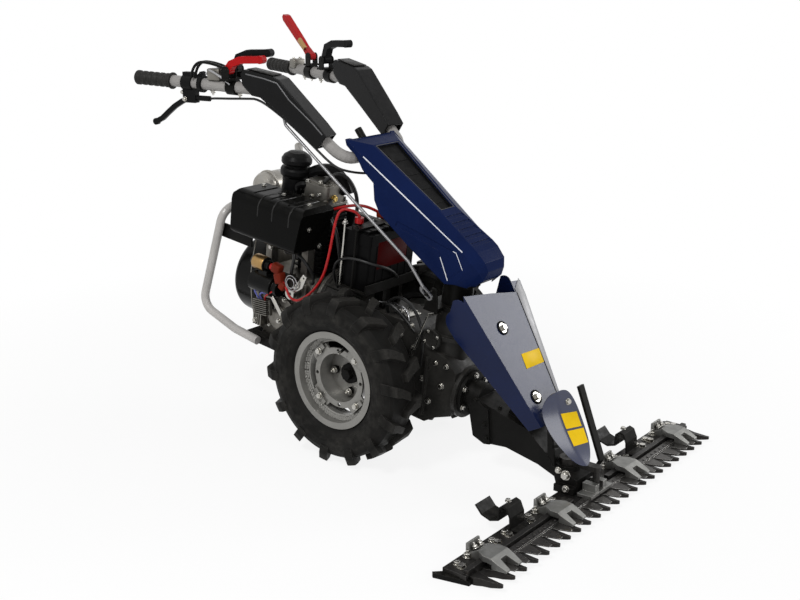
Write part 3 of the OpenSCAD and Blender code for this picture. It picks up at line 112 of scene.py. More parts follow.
class MowerStage(bpy.types.PropertyGroup):
    """Floor, lamps and camera."""
    lens: FloatProperty(name="Lens", description="Focal length on a 36 mm sensor", default=52.43, min=10)
    floor: paint("Floor", "Colour of the floor", (0.86, 0.86, 0.86))
    key: FloatProperty(name="Key", description="Power of the large lamp", default=60, min=0, unit="POWER")
    fill: FloatProperty(name="Fill", description="Power of the wide lamps", default=60, min=0, unit="POWER")
    sky: FloatProperty(name="Sky", description="Strength of the soft light all round", default=0.5, min=0)


WHITE = (1, 1, 1, 1)
LOOK_SAMPLES = 6  # looks round each point, for rounded edges and for corners
FLAT, SHARP = 0.995, 0.8  # how far a face and its rounded direction agree, on a flat and along an edge


class NodeTree:
    """A node tree being wired."""

    def __init__(self, tree):
        self.nodes, self.links = tree.nodes, tree.links

    def add(self, kind, inputs=None, **settings):
        """One node with its settings, and its sockets set or linked."""
        node = self.nodes.new(kind)
        for key, value in settings.items():
            setattr(node, key, value)
        for socket, value in (inputs or {}).items():
            self.put(node.inputs[socket], value)
        return node

    def put(self, socket, value):
        """A link from another socket, or a plain value."""
        if isinstance(value, bpy.types.NodeSocket):
            self.links.new(value, socket)
        else:
            socket.default_value = value

    def sum(self, how, a, b=0.0, clamp=False):
        """Arithmetic on values."""
        return self.add("ShaderNodeMath", {0: a, 1: b}, operation=how, use_clamp=clamp).outputs["Value"]

    def times(self, a, b):
        """Two values multiplied."""
        return self.sum("MULTIPLY", a, b)

    def seen(self):
        """1 for rays that look at the backdrop, 0 for those that light the scene."""
        rays = self.add("ShaderNodeLightPath").outputs
        looks = self.sum("MAXIMUM", rays["Is Camera Ray"], rays["Is Glossy Ray"])
        return self.sum("MAXIMUM", looks, rays["Is Transmission Ray"])

    def surface(self, output, share, first, second):
        """Two shaders mixed into the tree's output."""
        node = self.add("ShaderNodeMixShader", {0: share, 1: first, 2: second})
        self.links.new(node.outputs["Shader"], self.nodes[output].inputs["Surface"])


class FinishTree(NodeTree):
    """A finish being mixed: a new material and the nodes that are linked into its shader."""

    def __init__(self, name):
        self.material = bpy.data.materials.new(name)
        self.material.use_nodes = True
        super().__init__(self.material.node_tree)
        self.shader = self.nodes["Principled BSDF"]
        coords = self.add("ShaderNodeTexCoord").outputs
        self.place, self.facing = coords["Object"], coords["Normal"]

    def stretched(self, scale):
        """The piece's own coordinates, stretched."""
        return self.add("ShaderNodeMapping", {"Vector": self.place, "Scale": scale}).outputs["Vector"]

    def grain(self, scale, detail=4.0, rough=0.55, where=None):
        """Noise from 0 to 1."""
        inputs = {"Vector": where or self.place, "Scale": scale, "Detail": detail, "Roughness": rough}
        return self.add("ShaderNodeTexNoise", inputs).outputs["Fac"]

    def cells(self, scale):
        """Distance to the nearest of scattered points."""
        return self.add("ShaderNodeTexVoronoi", {"Vector": self.place, "Scale": scale}).outputs["Distance"]

    def reach(self, a, b):
        """The length of a line from its two sides."""
        return self.sum("SQRT", self.sum("ADD", self.times(a, a), self.times(b, b)))

    def between(self, value, low, high, bottom=0.0, top=1.0):
        """A value's range made another range, clamped."""
        inputs = {"Value": value, "From Min": low, "From Max": high, "To Min": bottom, "To Max": top}
        return self.add("ShaderNodeMapRange", inputs).outputs["Result"]

    def blend(self, amount, first, second):
        """Two colours mixed."""
        node = self.add("ShaderNodeMix", data_type="RGBA")
        self.put(node.inputs["Factor"], amount)
        for name, value in (("A", first), ("B", second)):
            self.tone(node.inputs[name], value)
        return node.outputs["Result"]

    def tone(self, socket, value):
        """A colour's socket linked, or set to a plain colour."""
        self.put(socket, value if isinstance(value, bpy.types.NodeSocket) else (*value[:3], 1.0))

    def rounded(self, radius):
        """The surface's direction with its edges rounded off."""
        return self.add("ShaderNodeBevel", {"Radius": radius}, samples=LOOK_SAMPLES).outputs["Normal"]

    def edges(self, radius):
        """1 along edges and 0 on flat faces."""
        face = self.add("ShaderNodeNewGeometry").outputs["Normal"]
        dot = self.add("ShaderNodeVectorMath", {0: self.rounded(radius), 1: face}, operation="DOT_PRODUCT")
        return self.between(dot.outputs["Value"], FLAT, SHARP)

    def hollow(self, distance):
        """1 in the open and 0 deep in corners."""
        node = self.add("ShaderNodeAmbientOcclusion", {"Distance": distance}, samples=LOOK_SAMPLES)
        return node.outputs["AO"]

    def upward(self, low=0.3):
        """1 where the surface faces up."""
        parts = self.add("ShaderNodeSeparateXYZ", {"Vector": self.facing})
        return self.between(parts.outputs["Z"], low, 0.95)

    def axes(self):
        """The coordinates one by one."""
        parts = self.add("ShaderNodeSeparateXYZ", {"Vector": self.place}).outputs
        return parts["X"], parts["Y"], parts["Z"]

    def bump(self, height, depth, strength, normal=None):
        """A surface direction raised by a height."""
        inputs = {"Height": height, "Distance": depth, "Strength": strength}
        if normal is not None:
            inputs["Normal"] = normal
        return self.add("ShaderNodeBump", inputs).outputs["Normal"]

    def finish(self, colour, roughness, normal, metallic=0.0, **sockets):
        """The shader's sockets filled in, and the material."""
        self.tone(self.shader.inputs["Base Color"], colour)
        for name, value in dict(roughness=roughness, normal=normal, metallic=metallic, **sockets).items():
            self.put(self.shader.inputs[name.replace("_", " ").title().replace("Ior", "IOR")], value)
        return self.material


def tint(colour, factor):
    """A colour made lighter or darker."""
    return tuple(min(1.0, c * factor) for c in colour)


def gloss_paint(name, colour, rough=0.22, peel=0.00003, worn=(0.1, 0.1, 0.1), wear=0.35, edge=0.0012,
                gloss=0.3, dusty=0.05, coat=0.0, coat_ior=1.5, coat_rough=0.08):
    """Sprayed gloss paint: orange peel, faint dust on top, edges rubbed thin."""
    t = FinishTree(name)
    body = t.blend(t.between(t.grain(7.0, 5), 0.3, 0.7), tint(colour, 0.86), tint(colour, 1.14))
    dust = t.times(t.upward(), t.between(t.grain(38.0, 6, 0.65), 0.45, 0.85, 0.0, dusty))
    body = t.blend(dust, body, (0.2, 0.19, 0.175))
    rub = t.times(t.edges(edge), t.between(t.grain(170.0, 5, 0.7), 0.42, 0.72, 0.0, wear))
    body = t.blend(rub, body, worn)
    shine = t.sum("ADD", t.between(t.grain(55.0, 5, 0.6), 0.3, 0.75, rough * 0.8, rough * 1.35), dust)
    normal = t.bump(t.grain(420.0, 2), peel, 0.6, t.rounded(edge))
    return t.finish(body, shine, normal, coat_weight=coat, coat_roughness=coat_rough, coat_ior=coat_ior,
                    specular_ior_level=gloss)


def cast_paint(name, colour, rough=0.44, depth=0.00025, dusty=0.07, worn=(0.06, 0.058, 0.054), gloss=0.07):
    """Paint over a rough casting: pebbled, dusty on top, bare along edges."""
    t = FinishTree(name)
    pebble = t.sum("ADD", t.grain(340.0, 4, 0.6), t.times(t.grain(95.0, 3), 0.7))
    body = t.blend(t.between(t.grain(16.0, 5), 0.3, 0.7), tint(colour, 0.75), tint(colour, 1.35))
    dust = t.times(t.upward(0.1), t.between(t.grain(46.0, 6, 0.65), 0.42, 0.8, 0.0, dusty))
    body = t.blend(dust, body, (0.22, 0.205, 0.18))
    rub = t.times(t.edges(0.0016), t.between(t.grain(210.0, 5, 0.7), 0.4, 0.7, 0.0, 0.55))
    body = t.blend(rub, body, worn)
    shine = t.between(t.grain(60.0, 5, 0.6), 0.3, 0.75, rough * 0.78, rough * 1.3)
    return t.finish(body, shine, t.bump(pebble, depth, 0.7, t.rounded(0.0016)), specular_ior_level=gloss)


def raw_casting(name, colour, rough=0.36, depth=0.00022, stain=0.5):
    """Bare die-cast metal: sparkling grain, painted shade in the corners, brighter edges."""
    t = FinishTree(name)
    body = t.blend(t.between(t.grain(22.0, 6, 0.62), 0.32, 0.68), tint(colour, 0.72), tint(colour, 1.12))
    # painted shade: darker brown-black towards the corners, from the occlusion mask
    film_and_shade = t.sum("MULTIPLY", t.between(t.hollow(0.03), 0.95, 0.35), stain, clamp=True)
    body = t.blend(film_and_shade, body, (0.035, 0.03, 0.022))
    rub = t.times(t.edges(0.0012), t.between(t.grain(240.0, 4), 0.35, 0.7, 0.0, 0.6))
    body = t.blend(rub, body, (0.72, 0.7, 0.66))
    shine = t.between(t.grain(75.0, 5, 0.65), 0.3, 0.72, rough * 0.75, rough * 1.4)
    pebble = t.sum("ADD", t.grain(520.0, 3, 0.6), t.grain(120.0, 3))
    return t.finish(body, shine, t.bump(pebble, depth, 0.55, t.rounded(0.0012)), 0.88)


def moulded_plastic(name, colour, rough=0.4, depth=0.00012, scale=950.0, gloss=0.08, edge=0.0013,
                    dusty=0.05):
    """Moulded plastic with a fine leather grain and scuffed edges."""
    t = FinishTree(name)
    leather = t.sum("ADD", t.cells(scale), t.times(t.grain(scale * 1.8, 2), 0.5))
    body = t.blend(t.between(t.grain(19.0, 5), 0.3, 0.7), tint(colour, 0.8), tint(colour, 1.25))
    dust = t.times(t.upward(0.2), t.between(t.grain(60.0, 6, 0.66), 0.45, 0.85, 0.0, dusty))
    body = t.blend(dust, body, (0.2, 0.195, 0.185))
    rub = t.times(t.edges(0.0013), t.between(t.grain(260.0, 4), 0.4, 0.7, 0.0, 0.6))
    body = t.blend(rub, body, (0.035, 0.035, 0.035))
    shine = t.between(t.grain(48.0, 5, 0.6), 0.3, 0.75, rough * 0.8, rough * 1.25)
    return t.finish(body, shine, t.bump(leather, depth, 0.45, t.rounded(edge)), specular_ior_level=gloss)


def plated_metal(name, colour, rough=0.24, passivated=0.25):
    """Zinc or chrome plating: faint yellow clouds, fine rub marks, painted shade in the corners."""
    t = FinishTree(name)
    cloud = t.between(t.grain(85.0, 5, 0.6), 0.42, 0.75, 0.0, passivated)
    body = t.blend(cloud, colour, (0.55, 0.49, 0.33))
    # painted shade: darker in the corners, from the occlusion mask
    body = t.blend(t.between(t.hollow(0.006), 0.85, 0.2, 0.0, 0.7), body, (0.05, 0.047, 0.04))
    marks = t.grain(900.0, 3, 0.7)
    shine = t.between(marks, 0.3, 0.75, rough * 0.7, rough * 1.45)
    return t.finish(body, shine, t.bump(marks, 0.00003, 0.5, t.rounded(0.0006)), 1.0)


def silver_paint(name, colour, rough=0.34):
    """Silver wheel paint: fine flake, painted shade in the corners, dark rub along edges."""
    t = FinishTree(name)
    flake = t.grain(2600.0, 2)
    body = t.blend(t.between(flake, 0.35, 0.65), tint(colour, 0.86), tint(colour, 1.1))
    body = t.blend(t.between(t.grain(18.0, 6, 0.6), 0.45, 0.75, 0.0, 0.4), body, tint(colour, 0.66))
    # painted shade: darker in the corners and recesses, from the occlusion mask
    body = t.blend(t.between(t.hollow(0.02), 0.8, 0.25, 0.0, 0.72), body, (0.055, 0.05, 0.042))
    rub = t.times(t.edges(0.0012), t.between(t.grain(190.0, 5, 0.7), 0.48, 0.74, 0.0, 0.2))
    body = t.blend(rub, body, (0.11, 0.105, 0.1))
    shine = t.between(t.grain(64.0, 5, 0.6), 0.3, 0.75, rough * 0.8, rough * 1.35)
    return t.finish(body, shine, t.bump(t.grain(520.0, 3), 0.00003, 0.5, t.rounded(0.0007)), 0.5)


def tyre_rubber(name, colour):
    """Tyre rubber: moulded rings on the wall, dust on the wall, lugs scrubbed grey."""
    t = FinishTree(name)
    x, y, z = t.axes()
    radius = t.reach(t.sum("SUBTRACT", x, AXLE.x), t.sum("SUBTRACT", z, AXLE.z))
    off = t.sum("ABSOLUTE", t.sum("SUBTRACT", t.sum("ABSOLUTE", y), 0.215))
    body = t.blend(t.between(t.grain(13.0, 6, 0.6), 0.3, 0.72), tint(colour, 0.7), tint(colour, 1.5))
    tread = t.between(radius, 0.2285, 0.2455)
    scrub = t.times(tread, t.between(t.grain(150.0, 6, 0.7), 0.3, 0.72, 0.15, 0.8))
    body = t.blend(scrub, body, (0.036, 0.0345, 0.0315))
    worn = t.times(t.edges(0.0022), t.between(t.grain(120.0, 5, 0.7), 0.32, 0.66, 0.0, 0.85))
    body = t.blend(worn, body, (0.06, 0.058, 0.054))
    wall = t.times(t.between(off, 0.05, 0.06), t.between(radius, 0.225, 0.205))
    # real dust on the tyre wall, with no shade in it
    film_and_shade = t.times(wall, t.between(t.grain(34.0, 6, 0.65), 0.44, 0.8, 0.0, 0.22))
    body = t.blend(film_and_shade, body, (0.1, 0.095, 0.085))
    ribs = t.sum("SINE", t.times(radius, 1400.0))
    band = t.times(t.between(radius, 0.158, 0.161), t.between(radius, 0.181, 0.178))
    rings = t.times(t.between(ribs, -0.2, 0.8), t.times(band, wall))
    skin = t.sum("ADD", t.times(t.grain(700.0, 4, 0.65), 0.35), rings)
    shine = t.between(t.grain(42.0, 5, 0.6), 0.3, 0.75, 0.44, 0.68)
    return t.finish(body, shine, t.bump(skin, 0.0007, 0.6, t.rounded(0.0022)), specular_ior_level=0.07)


def grip_rubber(name, colour):
    """Soft grip with rings of ribs along it and a matt skin."""
    t = FinishTree(name)
    x, y, z = t.axes()
    along = t.sum("ADD", t.times(x, 0.9781), t.times(t.sum("ABSOLUTE", y), -0.2079))
    ribs = t.between(t.sum("SINE", t.times(along, 980.0)), -0.3, 0.5)
    body = t.blend(t.between(t.grain(60.0, 5), 0.3, 0.7), tint(colour, 0.8), tint(colour, 1.9))
    body = t.blend(t.times(ribs, 0.35), body, tint(colour, 3.0))
    skin = t.sum("ADD", ribs, t.times(t.grain(900.0, 3), 0.25))
    shine = t.between(t.grain(90.0, 4), 0.3, 0.7, 0.5, 0.72)
    return t.finish(body, shine, t.bump(skin, 0.0006, 0.7, t.rounded(0.0015)), specular_ior_level=0.2)


def blade_steel(name, colour, bright, rough, wear, along=(1, 0.08, 1)):
    """Dark rolled steel with draw marks, thin rust clouds and bright ground edges."""
    t = FinishTree(name)
    draw = t.grain(620.0, 4, 0.65, t.stretched(along))
    body = t.blend(t.between(draw, 0.3, 0.72), tint(colour, 0.62), tint(colour, 1.5))
    rust = t.between(t.grain(58.0, 6, 0.68), 0.56, 0.8, 0.0, 0.28)
    body = t.blend(rust, body, (0.085, 0.046, 0.024))
    rub = t.times(t.edges(0.0012), t.between(t.grain(240.0, 5, 0.7), 0.3, 0.62, 0.1, wear))
    body = t.blend(rub, body, bright)
    shine = t.between(t.grain(80.0, 5, 0.65), 0.3, 0.75, rough * 0.75, rough * 1.5)
    return t.finish(body, shine, t.bump(draw, 0.00008, 0.5, t.rounded(0.001)), 0.85)


def exhaust_steel(name, colour):
    """Bare exhaust steel with heat clouds of straw and blue, and painted shade in its hollows."""
    t = FinishTree(name)
    heat = t.grain(14.0, 4)
    body = t.blend(t.between(heat, 0.35, 0.6), colour, (0.31, 0.295, 0.265))
    body = t.blend(t.between(heat, 0.58, 0.72, 0.0, 0.4), body, (0.17, 0.165, 0.17))
    # painted shade: darker in the hollows, from the occlusion mask
    body = t.blend(t.between(t.hollow(0.02), 0.8, 0.3, 0.0, 0.7), body, (0.04, 0.035, 0.03))
    shine = t.between(t.grain(90.0, 5, 0.65), 0.3, 0.75, 0.24, 0.5)
    return t.finish(body, shine, t.bump(t.grain(520.0, 3), 0.00008, 0.5, t.rounded(0.001)), 0.95)


def cable_jacket(name, colour):
    """Flexible cable jacket, slightly mottled and satin."""
    t = FinishTree(name)
    body = t.blend(t.between(t.grain(75.0, 5), 0.3, 0.7), tint(colour, 0.7), tint(colour, 1.25))
    shine = t.between(t.grain(140.0, 4), 0.3, 0.7, 0.26, 0.46)
    return t.finish(body, shine, t.bump(t.grain(800.0, 2), 0.00005, 0.5), specular_ior_level=0.3)


def mix(make, colour, **settings):
    """A finish's recipe: how it is made, its colour or a named colour with a factor, and its settings."""
    return make, colour, settings


WORN_GREY, WORN_BLACK, WORN_NAVY = (0.16, 0.15, 0.14), (0.05, 0.05, 0.05), (0.16, 0.17, 0.2)
DARK_GREY = (0.075, 0.075, 0.078)
MIXES = {
    "tyre rubber": mix(tyre_rubber, ("rubber", 1)),
    "grip rubber": mix(grip_rubber, ("rubber", 1)),
    "wheel silver": mix(silver_paint, ("silver", 1)),
    "exhaust steel": mix(exhaust_steel, (0.34, 0.335, 0.325)),
    "cast black": mix(cast_paint, ("cast_black", 1)),
    "frame black": mix(cast_paint, ("cast_black", 1), rough=0.4, depth=0.00012, dusty=0.1),
    "case black": mix(cast_paint, ("cast_black", 3.6), rough=0.4, depth=0.0003, dusty=0.12, gloss=0.14),
    "fin black": mix(cast_paint, ("black", 1), rough=0.5, depth=0.0001, dusty=0.03,
        worn=(0.012, 0.012, 0.011), gloss=0.12),
    "strap grey": mix(cast_paint, (0.07, 0.07, 0.066), rough=0.4, depth=0.0001, dusty=0.1),
    "raw aluminium": mix(raw_casting, ("aluminium", 1)),
    "clip casting": mix(raw_casting, ("clip", 1), rough=0.42, depth=0.00025, stain=0.35),
    # the bumper's grey paint darkened to 0.62 on the handlebar tubes: painted shade
    "tube grey": mix(gloss_paint, ("grey", 0.62), rough=0.34, peel=0.00005, worn=WORN_GREY, wear=0.3),
    "bumper grey": mix(gloss_paint, ("grey", 1), rough=0.34, peel=0.00005, worn=WORN_GREY, wear=0.3,
        coat=0.1),
    "gloss black": mix(gloss_paint, ("black", 1), rough=0.2, peel=0.00005, worn=WORN_BLACK, wear=0.5,
        edge=0.003, gloss=0.1),
    "tank black": mix(gloss_paint, ("black", 1), rough=0.2, worn=WORN_BLACK, wear=0.4, edge=0.003,
        gloss=0.05),
    # the tank's black made three times lighter on its beads: partly painted highlight, with real gloss on top
    "bead black": mix(gloss_paint, ("black", 3), rough=0.18, peel=0.00001, worn=WORN_BLACK, wear=0.2,
        edge=0.0008, gloss=0.28, dusty=0),
    "navy hood": mix(gloss_paint, ("navy", 1.1), rough=0.26, peel=0.00002, worn=(0.02, 0.03, 0.08),
        wear=0.1, edge=0.0028, gloss=0.022, dusty=0),
    "navy shield": mix(gloss_paint, ("navy", 1), worn=WORN_NAVY, wear=0.6, edge=0.0014, gloss=0.04,
        dusty=0, coat=0.3, coat_ior=1.45, coat_rough=0.16),
    "navy cover": mix(gloss_paint, ("navy", 1), worn=WORN_NAVY, wear=0.6, edge=0.0014, gloss=0.1,
        dusty=0, coat=0.85, coat_ior=1.7, coat_rough=0.26),
    # pale grey bead along the hood's creases: painted highlights, not a real trim
    "crease gloss": mix(gloss_paint, (0.6, 0.61, 0.65), rough=0.3, peel=0.00001, worn=(0.5, 0.5, 0.5),
        wear=0.1, edge=0.0003, gloss=0.2, dusty=0),
    # grey on a flange of the navy shield: a painted reflection of the light its front sheet shows
    "trim grey": mix(gloss_paint, (0.3, 0.3, 0.31), rough=0.32, worn=(0.2, 0.2, 0.2), wear=0.4),
    "red lever": mix(gloss_paint, ("red", 1), rough=0.3, peel=0.00005, worn=(0.5, 0.06, 0.05), wear=0.5,
        gloss=0.12),
    "dark red plate": mix(gloss_paint, (0.045, 0.002, 0.002), rough=0.34, gloss=0.04, dusty=0),
    "yellow plate": mix(gloss_paint, ("yellow", 1), rough=0.32, worn=(0.6, 0.45, 0.1), wear=0.15,
        gloss=0.06, dusty=0),
    "moulded black": mix(moulded_plastic, ("moulded_black", 1)),
    "shell black": mix(moulded_plastic, ("moulded_black", 1), rough=0.3, depth=0.00002, scale=1400,
        gloss=0.12, edge=0.007),
    "battery black": mix(moulded_plastic, ("moulded_black", 0.5), rough=0.36, depth=0.0001, scale=700,
        gloss=0.04),
    "panel black": mix(moulded_plastic, ("moulded_black", 0.6), rough=0.5, depth=0.0001, scale=1200,
        gloss=0.06, dusty=0),
    # dark grey ridge on near-black shells: a painted highlight line along each arm's crease
    "ridge black": mix(moulded_plastic, DARK_GREY, rough=0.3, gloss=0.5),
    "rim grey": mix(moulded_plastic, DARK_GREY),
    "washer rubber": mix(moulded_plastic, ("rubber", 0.4), rough=0.5),
    "orange rubber": mix(moulded_plastic, (0.125, 0.013, 0.005), rough=0.42, depth=0.0002, scale=500),
    "zinc": mix(plated_metal, ("zinc", 1)),
    "chrome": mix(plated_metal, (0.34, 0.34, 0.35), rough=0.18, passivated=0.05),
    "rod plating": mix(plated_metal, (0.2, 0.2, 0.205), rough=0.42, passivated=0.05),
    "bronze": mix(plated_metal, (0.36, 0.22, 0.085), rough=0.34, passivated=0.1),
    "brass": mix(plated_metal, (0.62, 0.43, 0.13), rough=0.26, passivated=0.1),
    "bar steel": mix(blade_steel, ("steel", 0.5), bright=(0.2, 0.195, 0.19), rough=0.42, wear=0.5),
    "finger steel": mix(blade_steel, ("steel", 0.42), bright=(0.16, 0.155, 0.15), rough=0.4, wear=0.6,
        along=(0.1, 1, 1)),
    "knife steel": mix(blade_steel, ("steel", 1), bright=(0.5, 0.49, 0.47), rough=0.3, wear=0.85,
        along=(0.12, 1, 1)),
    "red cable": mix(cable_jacket, ("red", 1)),
    "black cable": mix(cable_jacket, (0.01, 0.01, 0.01)),
    "blue wire": mix(cable_jacket, (0.1, 0.11, 0.36)),
}
FINISHES = {}


def finish_named(name):
    """One of the mower's finishes, mixed once."""
    if name not in FINISHES:
        make, colour, settings = MIXES[name]
        if isinstance(colour[0], str):
            colour = tint(getattr(bpy.context.scene.mower_colours, colour[0]), colour[1])
        FINISHES[name] = make(name, colour, **settings)
    return FINISHES[name]


def dress(finish, *nodes):
    """A finish on CAD nodes."""
    for node in nodes:
        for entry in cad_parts[node].material_slots:
            entry.material = finish_named(finish)


def fresh(kind, **settings):
    """A new primitive, alone in the selection."""
    bpy.ops.object.select_all(action="DESELECT")
    getattr(bpy.ops.mesh, "primitive_" + kind + "_add")(**settings)
    bpy.ops.object.transform_apply(location=True, rotation=True, scale=True)
    return bpy.context.object


def alone(obj):
    """An object alone in the selection."""
    bpy.ops.object.select_all(action="DESELECT")
    obj.select_set(True)
    bpy.context.view_layer.objects.active = obj


def pick_top(obj, upright=0.9):
    """An object in edit mode, with the faces that look up picked."""
    bpy.ops.object.mode_set(mode="EDIT")
    bpy.ops.mesh.select_mode(type="FACE")
    bpy.ops.mesh.select_all(action="DESELECT")
    mesh = bmesh.from_edit_mesh(obj.data)
    for face in mesh.faces:
        face.select_set(face.normal.z > upright)
    bmesh.update_edit_mesh(obj.data)


def raise_by(rise):
    """The picked faces drawn up into new walls."""
    bpy.ops.mesh.extrude_region_move(TRANSFORM_OT_translate={"value": (0, 0, rise)})


def soften(obj, width, segments=2, angle=35):
    """Sharp edges rounded off."""
    alone(obj)
    bpy.ops.object.mode_set(mode="EDIT")
    bpy.ops.mesh.select_mode(type="EDGE")
    bpy.ops.mesh.select_all(action="DESELECT")
    bpy.ops.mesh.edges_select_sharp(sharpness=math.radians(angle))
    bpy.ops.mesh.bevel(offset=width, segments=segments, affect="EDGES")
    bpy.ops.object.mode_set(mode="OBJECT")
    return obj


# an M8 head: half its width across corners, how far its top stands out, its washer's radius and thickness
HEX, CROWN, WASHER, WASHER_THICK = 0.0075, 0.0006, 0.0094, 0.0016


def hexagon(tall, middle, chamfer, land):
    """A chamfered hexagon, in edit mode with the middle of its top picked."""
    obj = fresh("cylinder", vertices=6, radius=HEX, depth=tall, location=(0, 0, middle))
    pick_top(obj)
    bpy.ops.mesh.inset(thickness=chamfer)
    bpy.ops.transform.translate(value=(0, 0, CROWN))
    bpy.ops.mesh.inset(thickness=land)
    return obj


def washered(obj):
    """A bolt or nut out of edit mode, with a washer under it and its edges rounded."""
    bpy.ops.mesh.primitive_cylinder_add(vertices=20, radius=WASHER, depth=WASHER_THICK,
                                        location=(0, 0, WASHER_THICK / 2))
    bpy.ops.object.mode_set(mode="OBJECT")
    return soften(obj, 0.0003, 1)


def hex_bolt():
    """An M8 bolt head: washer, chamfered hexagon, dished top."""
    obj = hexagon(0.0056, 0.0043, 0.0011, 0.0016)
    bpy.ops.transform.translate(value=(0, 0, -CROWN))
    return washered(obj)


def stud_nut():
    """An M8 nut on its stud, with a washer."""
    obj = hexagon(0.0064, 0.0048, 0.0012, 0.0021)
    stud = 0.0042
    for rise, narrow in ((0.0022, 0.0003), (0.0004, -0.0003), (0.0018, 0.0003), (0.0004, -0.0003),
                         (0.0014, 0.0008)):
        raise_by(rise)
        scale = 1 - narrow / stud
        bpy.ops.transform.resize(value=(scale, scale, 1), center_override=(0, 0, 0))
    return washered(obj)


def rivet():
    """A low domed rivet head."""
    obj = fresh("cylinder", vertices=14, radius=0.0036, depth=0.0018, location=(0, 0, 0.0009))
    return soften(obj, 0.0011, 3, 60)


MODELS = {}


def model(make):
    """A small part that is modelled once and copied."""
    if make not in MODELS:
        MODELS[make] = make()
    return MODELS[make]


def on(point, normal=(0, 0, 1), size=1.0):
    """A place on a surface, standing out along its direction."""
    stand = Vector(normal).to_track_quat("Z", "Y").to_matrix().to_4x4()
    return Matrix.Translation(point) @ stand @ Matrix.Scale(size, 4)


def copies(source, places):
    """Copies of a model, each with a mesh of its own."""
    made = []
    for place in places:
        obj = bpy.data.objects.new(source.name, source.data.copy())
        bpy.context.collection.objects.link(obj)
        obj.data.transform(place)
        made.append(obj)
    return made


def gather(parts):
    """One piece out of several."""
    alone(parts[0])
    for part in parts:
        part.select_set(True)
    if len(parts) > 1:
        bpy.ops.object.join()
    return parts[0]


def settle(obj, place):
    """A piece moved to its place, with the place kept in its mesh."""
    alone(obj)
    obj.matrix_world = place @ obj.matrix_world
    bpy.ops.object.transform_apply(location=True, rotation=True, scale=True)
    if place.determinant() < 0:
        turn_out()
    return obj


def turn_out():
    """The active piece's faces all turned outwards."""
    bpy.ops.object.mode_set(mode="EDIT")
    bpy.ops.mesh.select_all(action="SELECT")
    bpy.ops.mesh.normals_make_consistent(inside=False)
    bpy.ops.object.mode_set(mode="OBJECT")


def fit(obj, name, finish, body="chassis", smooth=35):
    """A finished piece named, dressed and set on its body."""
    alone(obj)
    bpy.ops.object.shade_smooth_by_angle(angle=math.radians(smooth))
    obj.name = obj.data.name = name
    obj.data.materials.clear()
    obj.data.materials.append(finish_named(finish))
    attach(obj, body)
    return obj


def bolts(name, places, make=hex_bolt, finish="zinc", body="chassis"):
    """A group of like bolts."""
    return fit(gather(copies(model(make), places)), name, finish, body)


def hose(points, radius, straight=False, sides=3):
    """A round cord or rod along points."""
    bpy.ops.object.select_all(action="DESELECT")
    bpy.ops.curve.primitive_nurbs_path_add()
    curve = bpy.context.object
    curve.data.splines.clear()
    line = curve.data.splines.new("POLY" if straight else "NURBS")
    line.points.add(len(points) - 1)
    for knot, place in zip(line.points, points):
        knot.co = (*place, 1)
    if not straight:
        line.order_u = min(4, len(points))
        line.use_endpoint_u = True
        line.resolution_u = 8
    curve.data.bevel_depth = radius
    curve.data.bevel_resolution = sides
    curve.data.use_fill_caps = True
    bpy.ops.object.convert(target="MESH")
    return bpy.context.object


def hoses(name, slot, finish, *lines):
    """Cords on the chassis as one piece, each a radius and the points that it runs along."""
    return fit(gather([hose(points, radius) for radius, *points in lines]), name, finish)


def plate(outline, thick, soft=0.0006):
    """A flat plate with softened edges, standing on its outline."""
    obj = fresh("circle", vertices=len(outline), radius=0.01, fill_type="NGON")
    for corner, (x, y) in zip(obj.data.vertices, outline):
        corner.co = (x, y, 0)
    bpy.ops.object.mode_set(mode="EDIT")
    bpy.ops.mesh.select_all(action="SELECT")
    raise_by(thick)
    bpy.ops.object.mode_set(mode="OBJECT")
    turn_out()
    return soften(obj, soft)


def block(size, soft=0.002, segments=3):
    """A softened block round the origin."""
    obj = fresh("cube", size=1)
    obj.scale = size
    bpy.ops.object.transform_apply(location=True, rotation=True, scale=True)
    return soften(obj, soft, segments)


def drum(radius, depth, soft=0.002, sides=32):
    """A softened drum standing on the origin, its top face sunk a little."""
    obj = fresh("cylinder", vertices=sides, radius=radius, depth=depth, location=(0, 0, depth / 2))
    pick_top(obj)
    bpy.ops.mesh.inset(thickness=radius * 0.25)
    raise_by(-min(depth * 0.2, 0.002))
    bpy.ops.object.mode_set(mode="OBJECT")
    return soften(obj, soft)


def ring(radius, thick, sides, place):
    """A round ring at a place."""
    obj = fresh("torus", major_radius=radius, minor_radius=thick, major_segments=40, minor_segments=sides)
    return settle(obj, place)


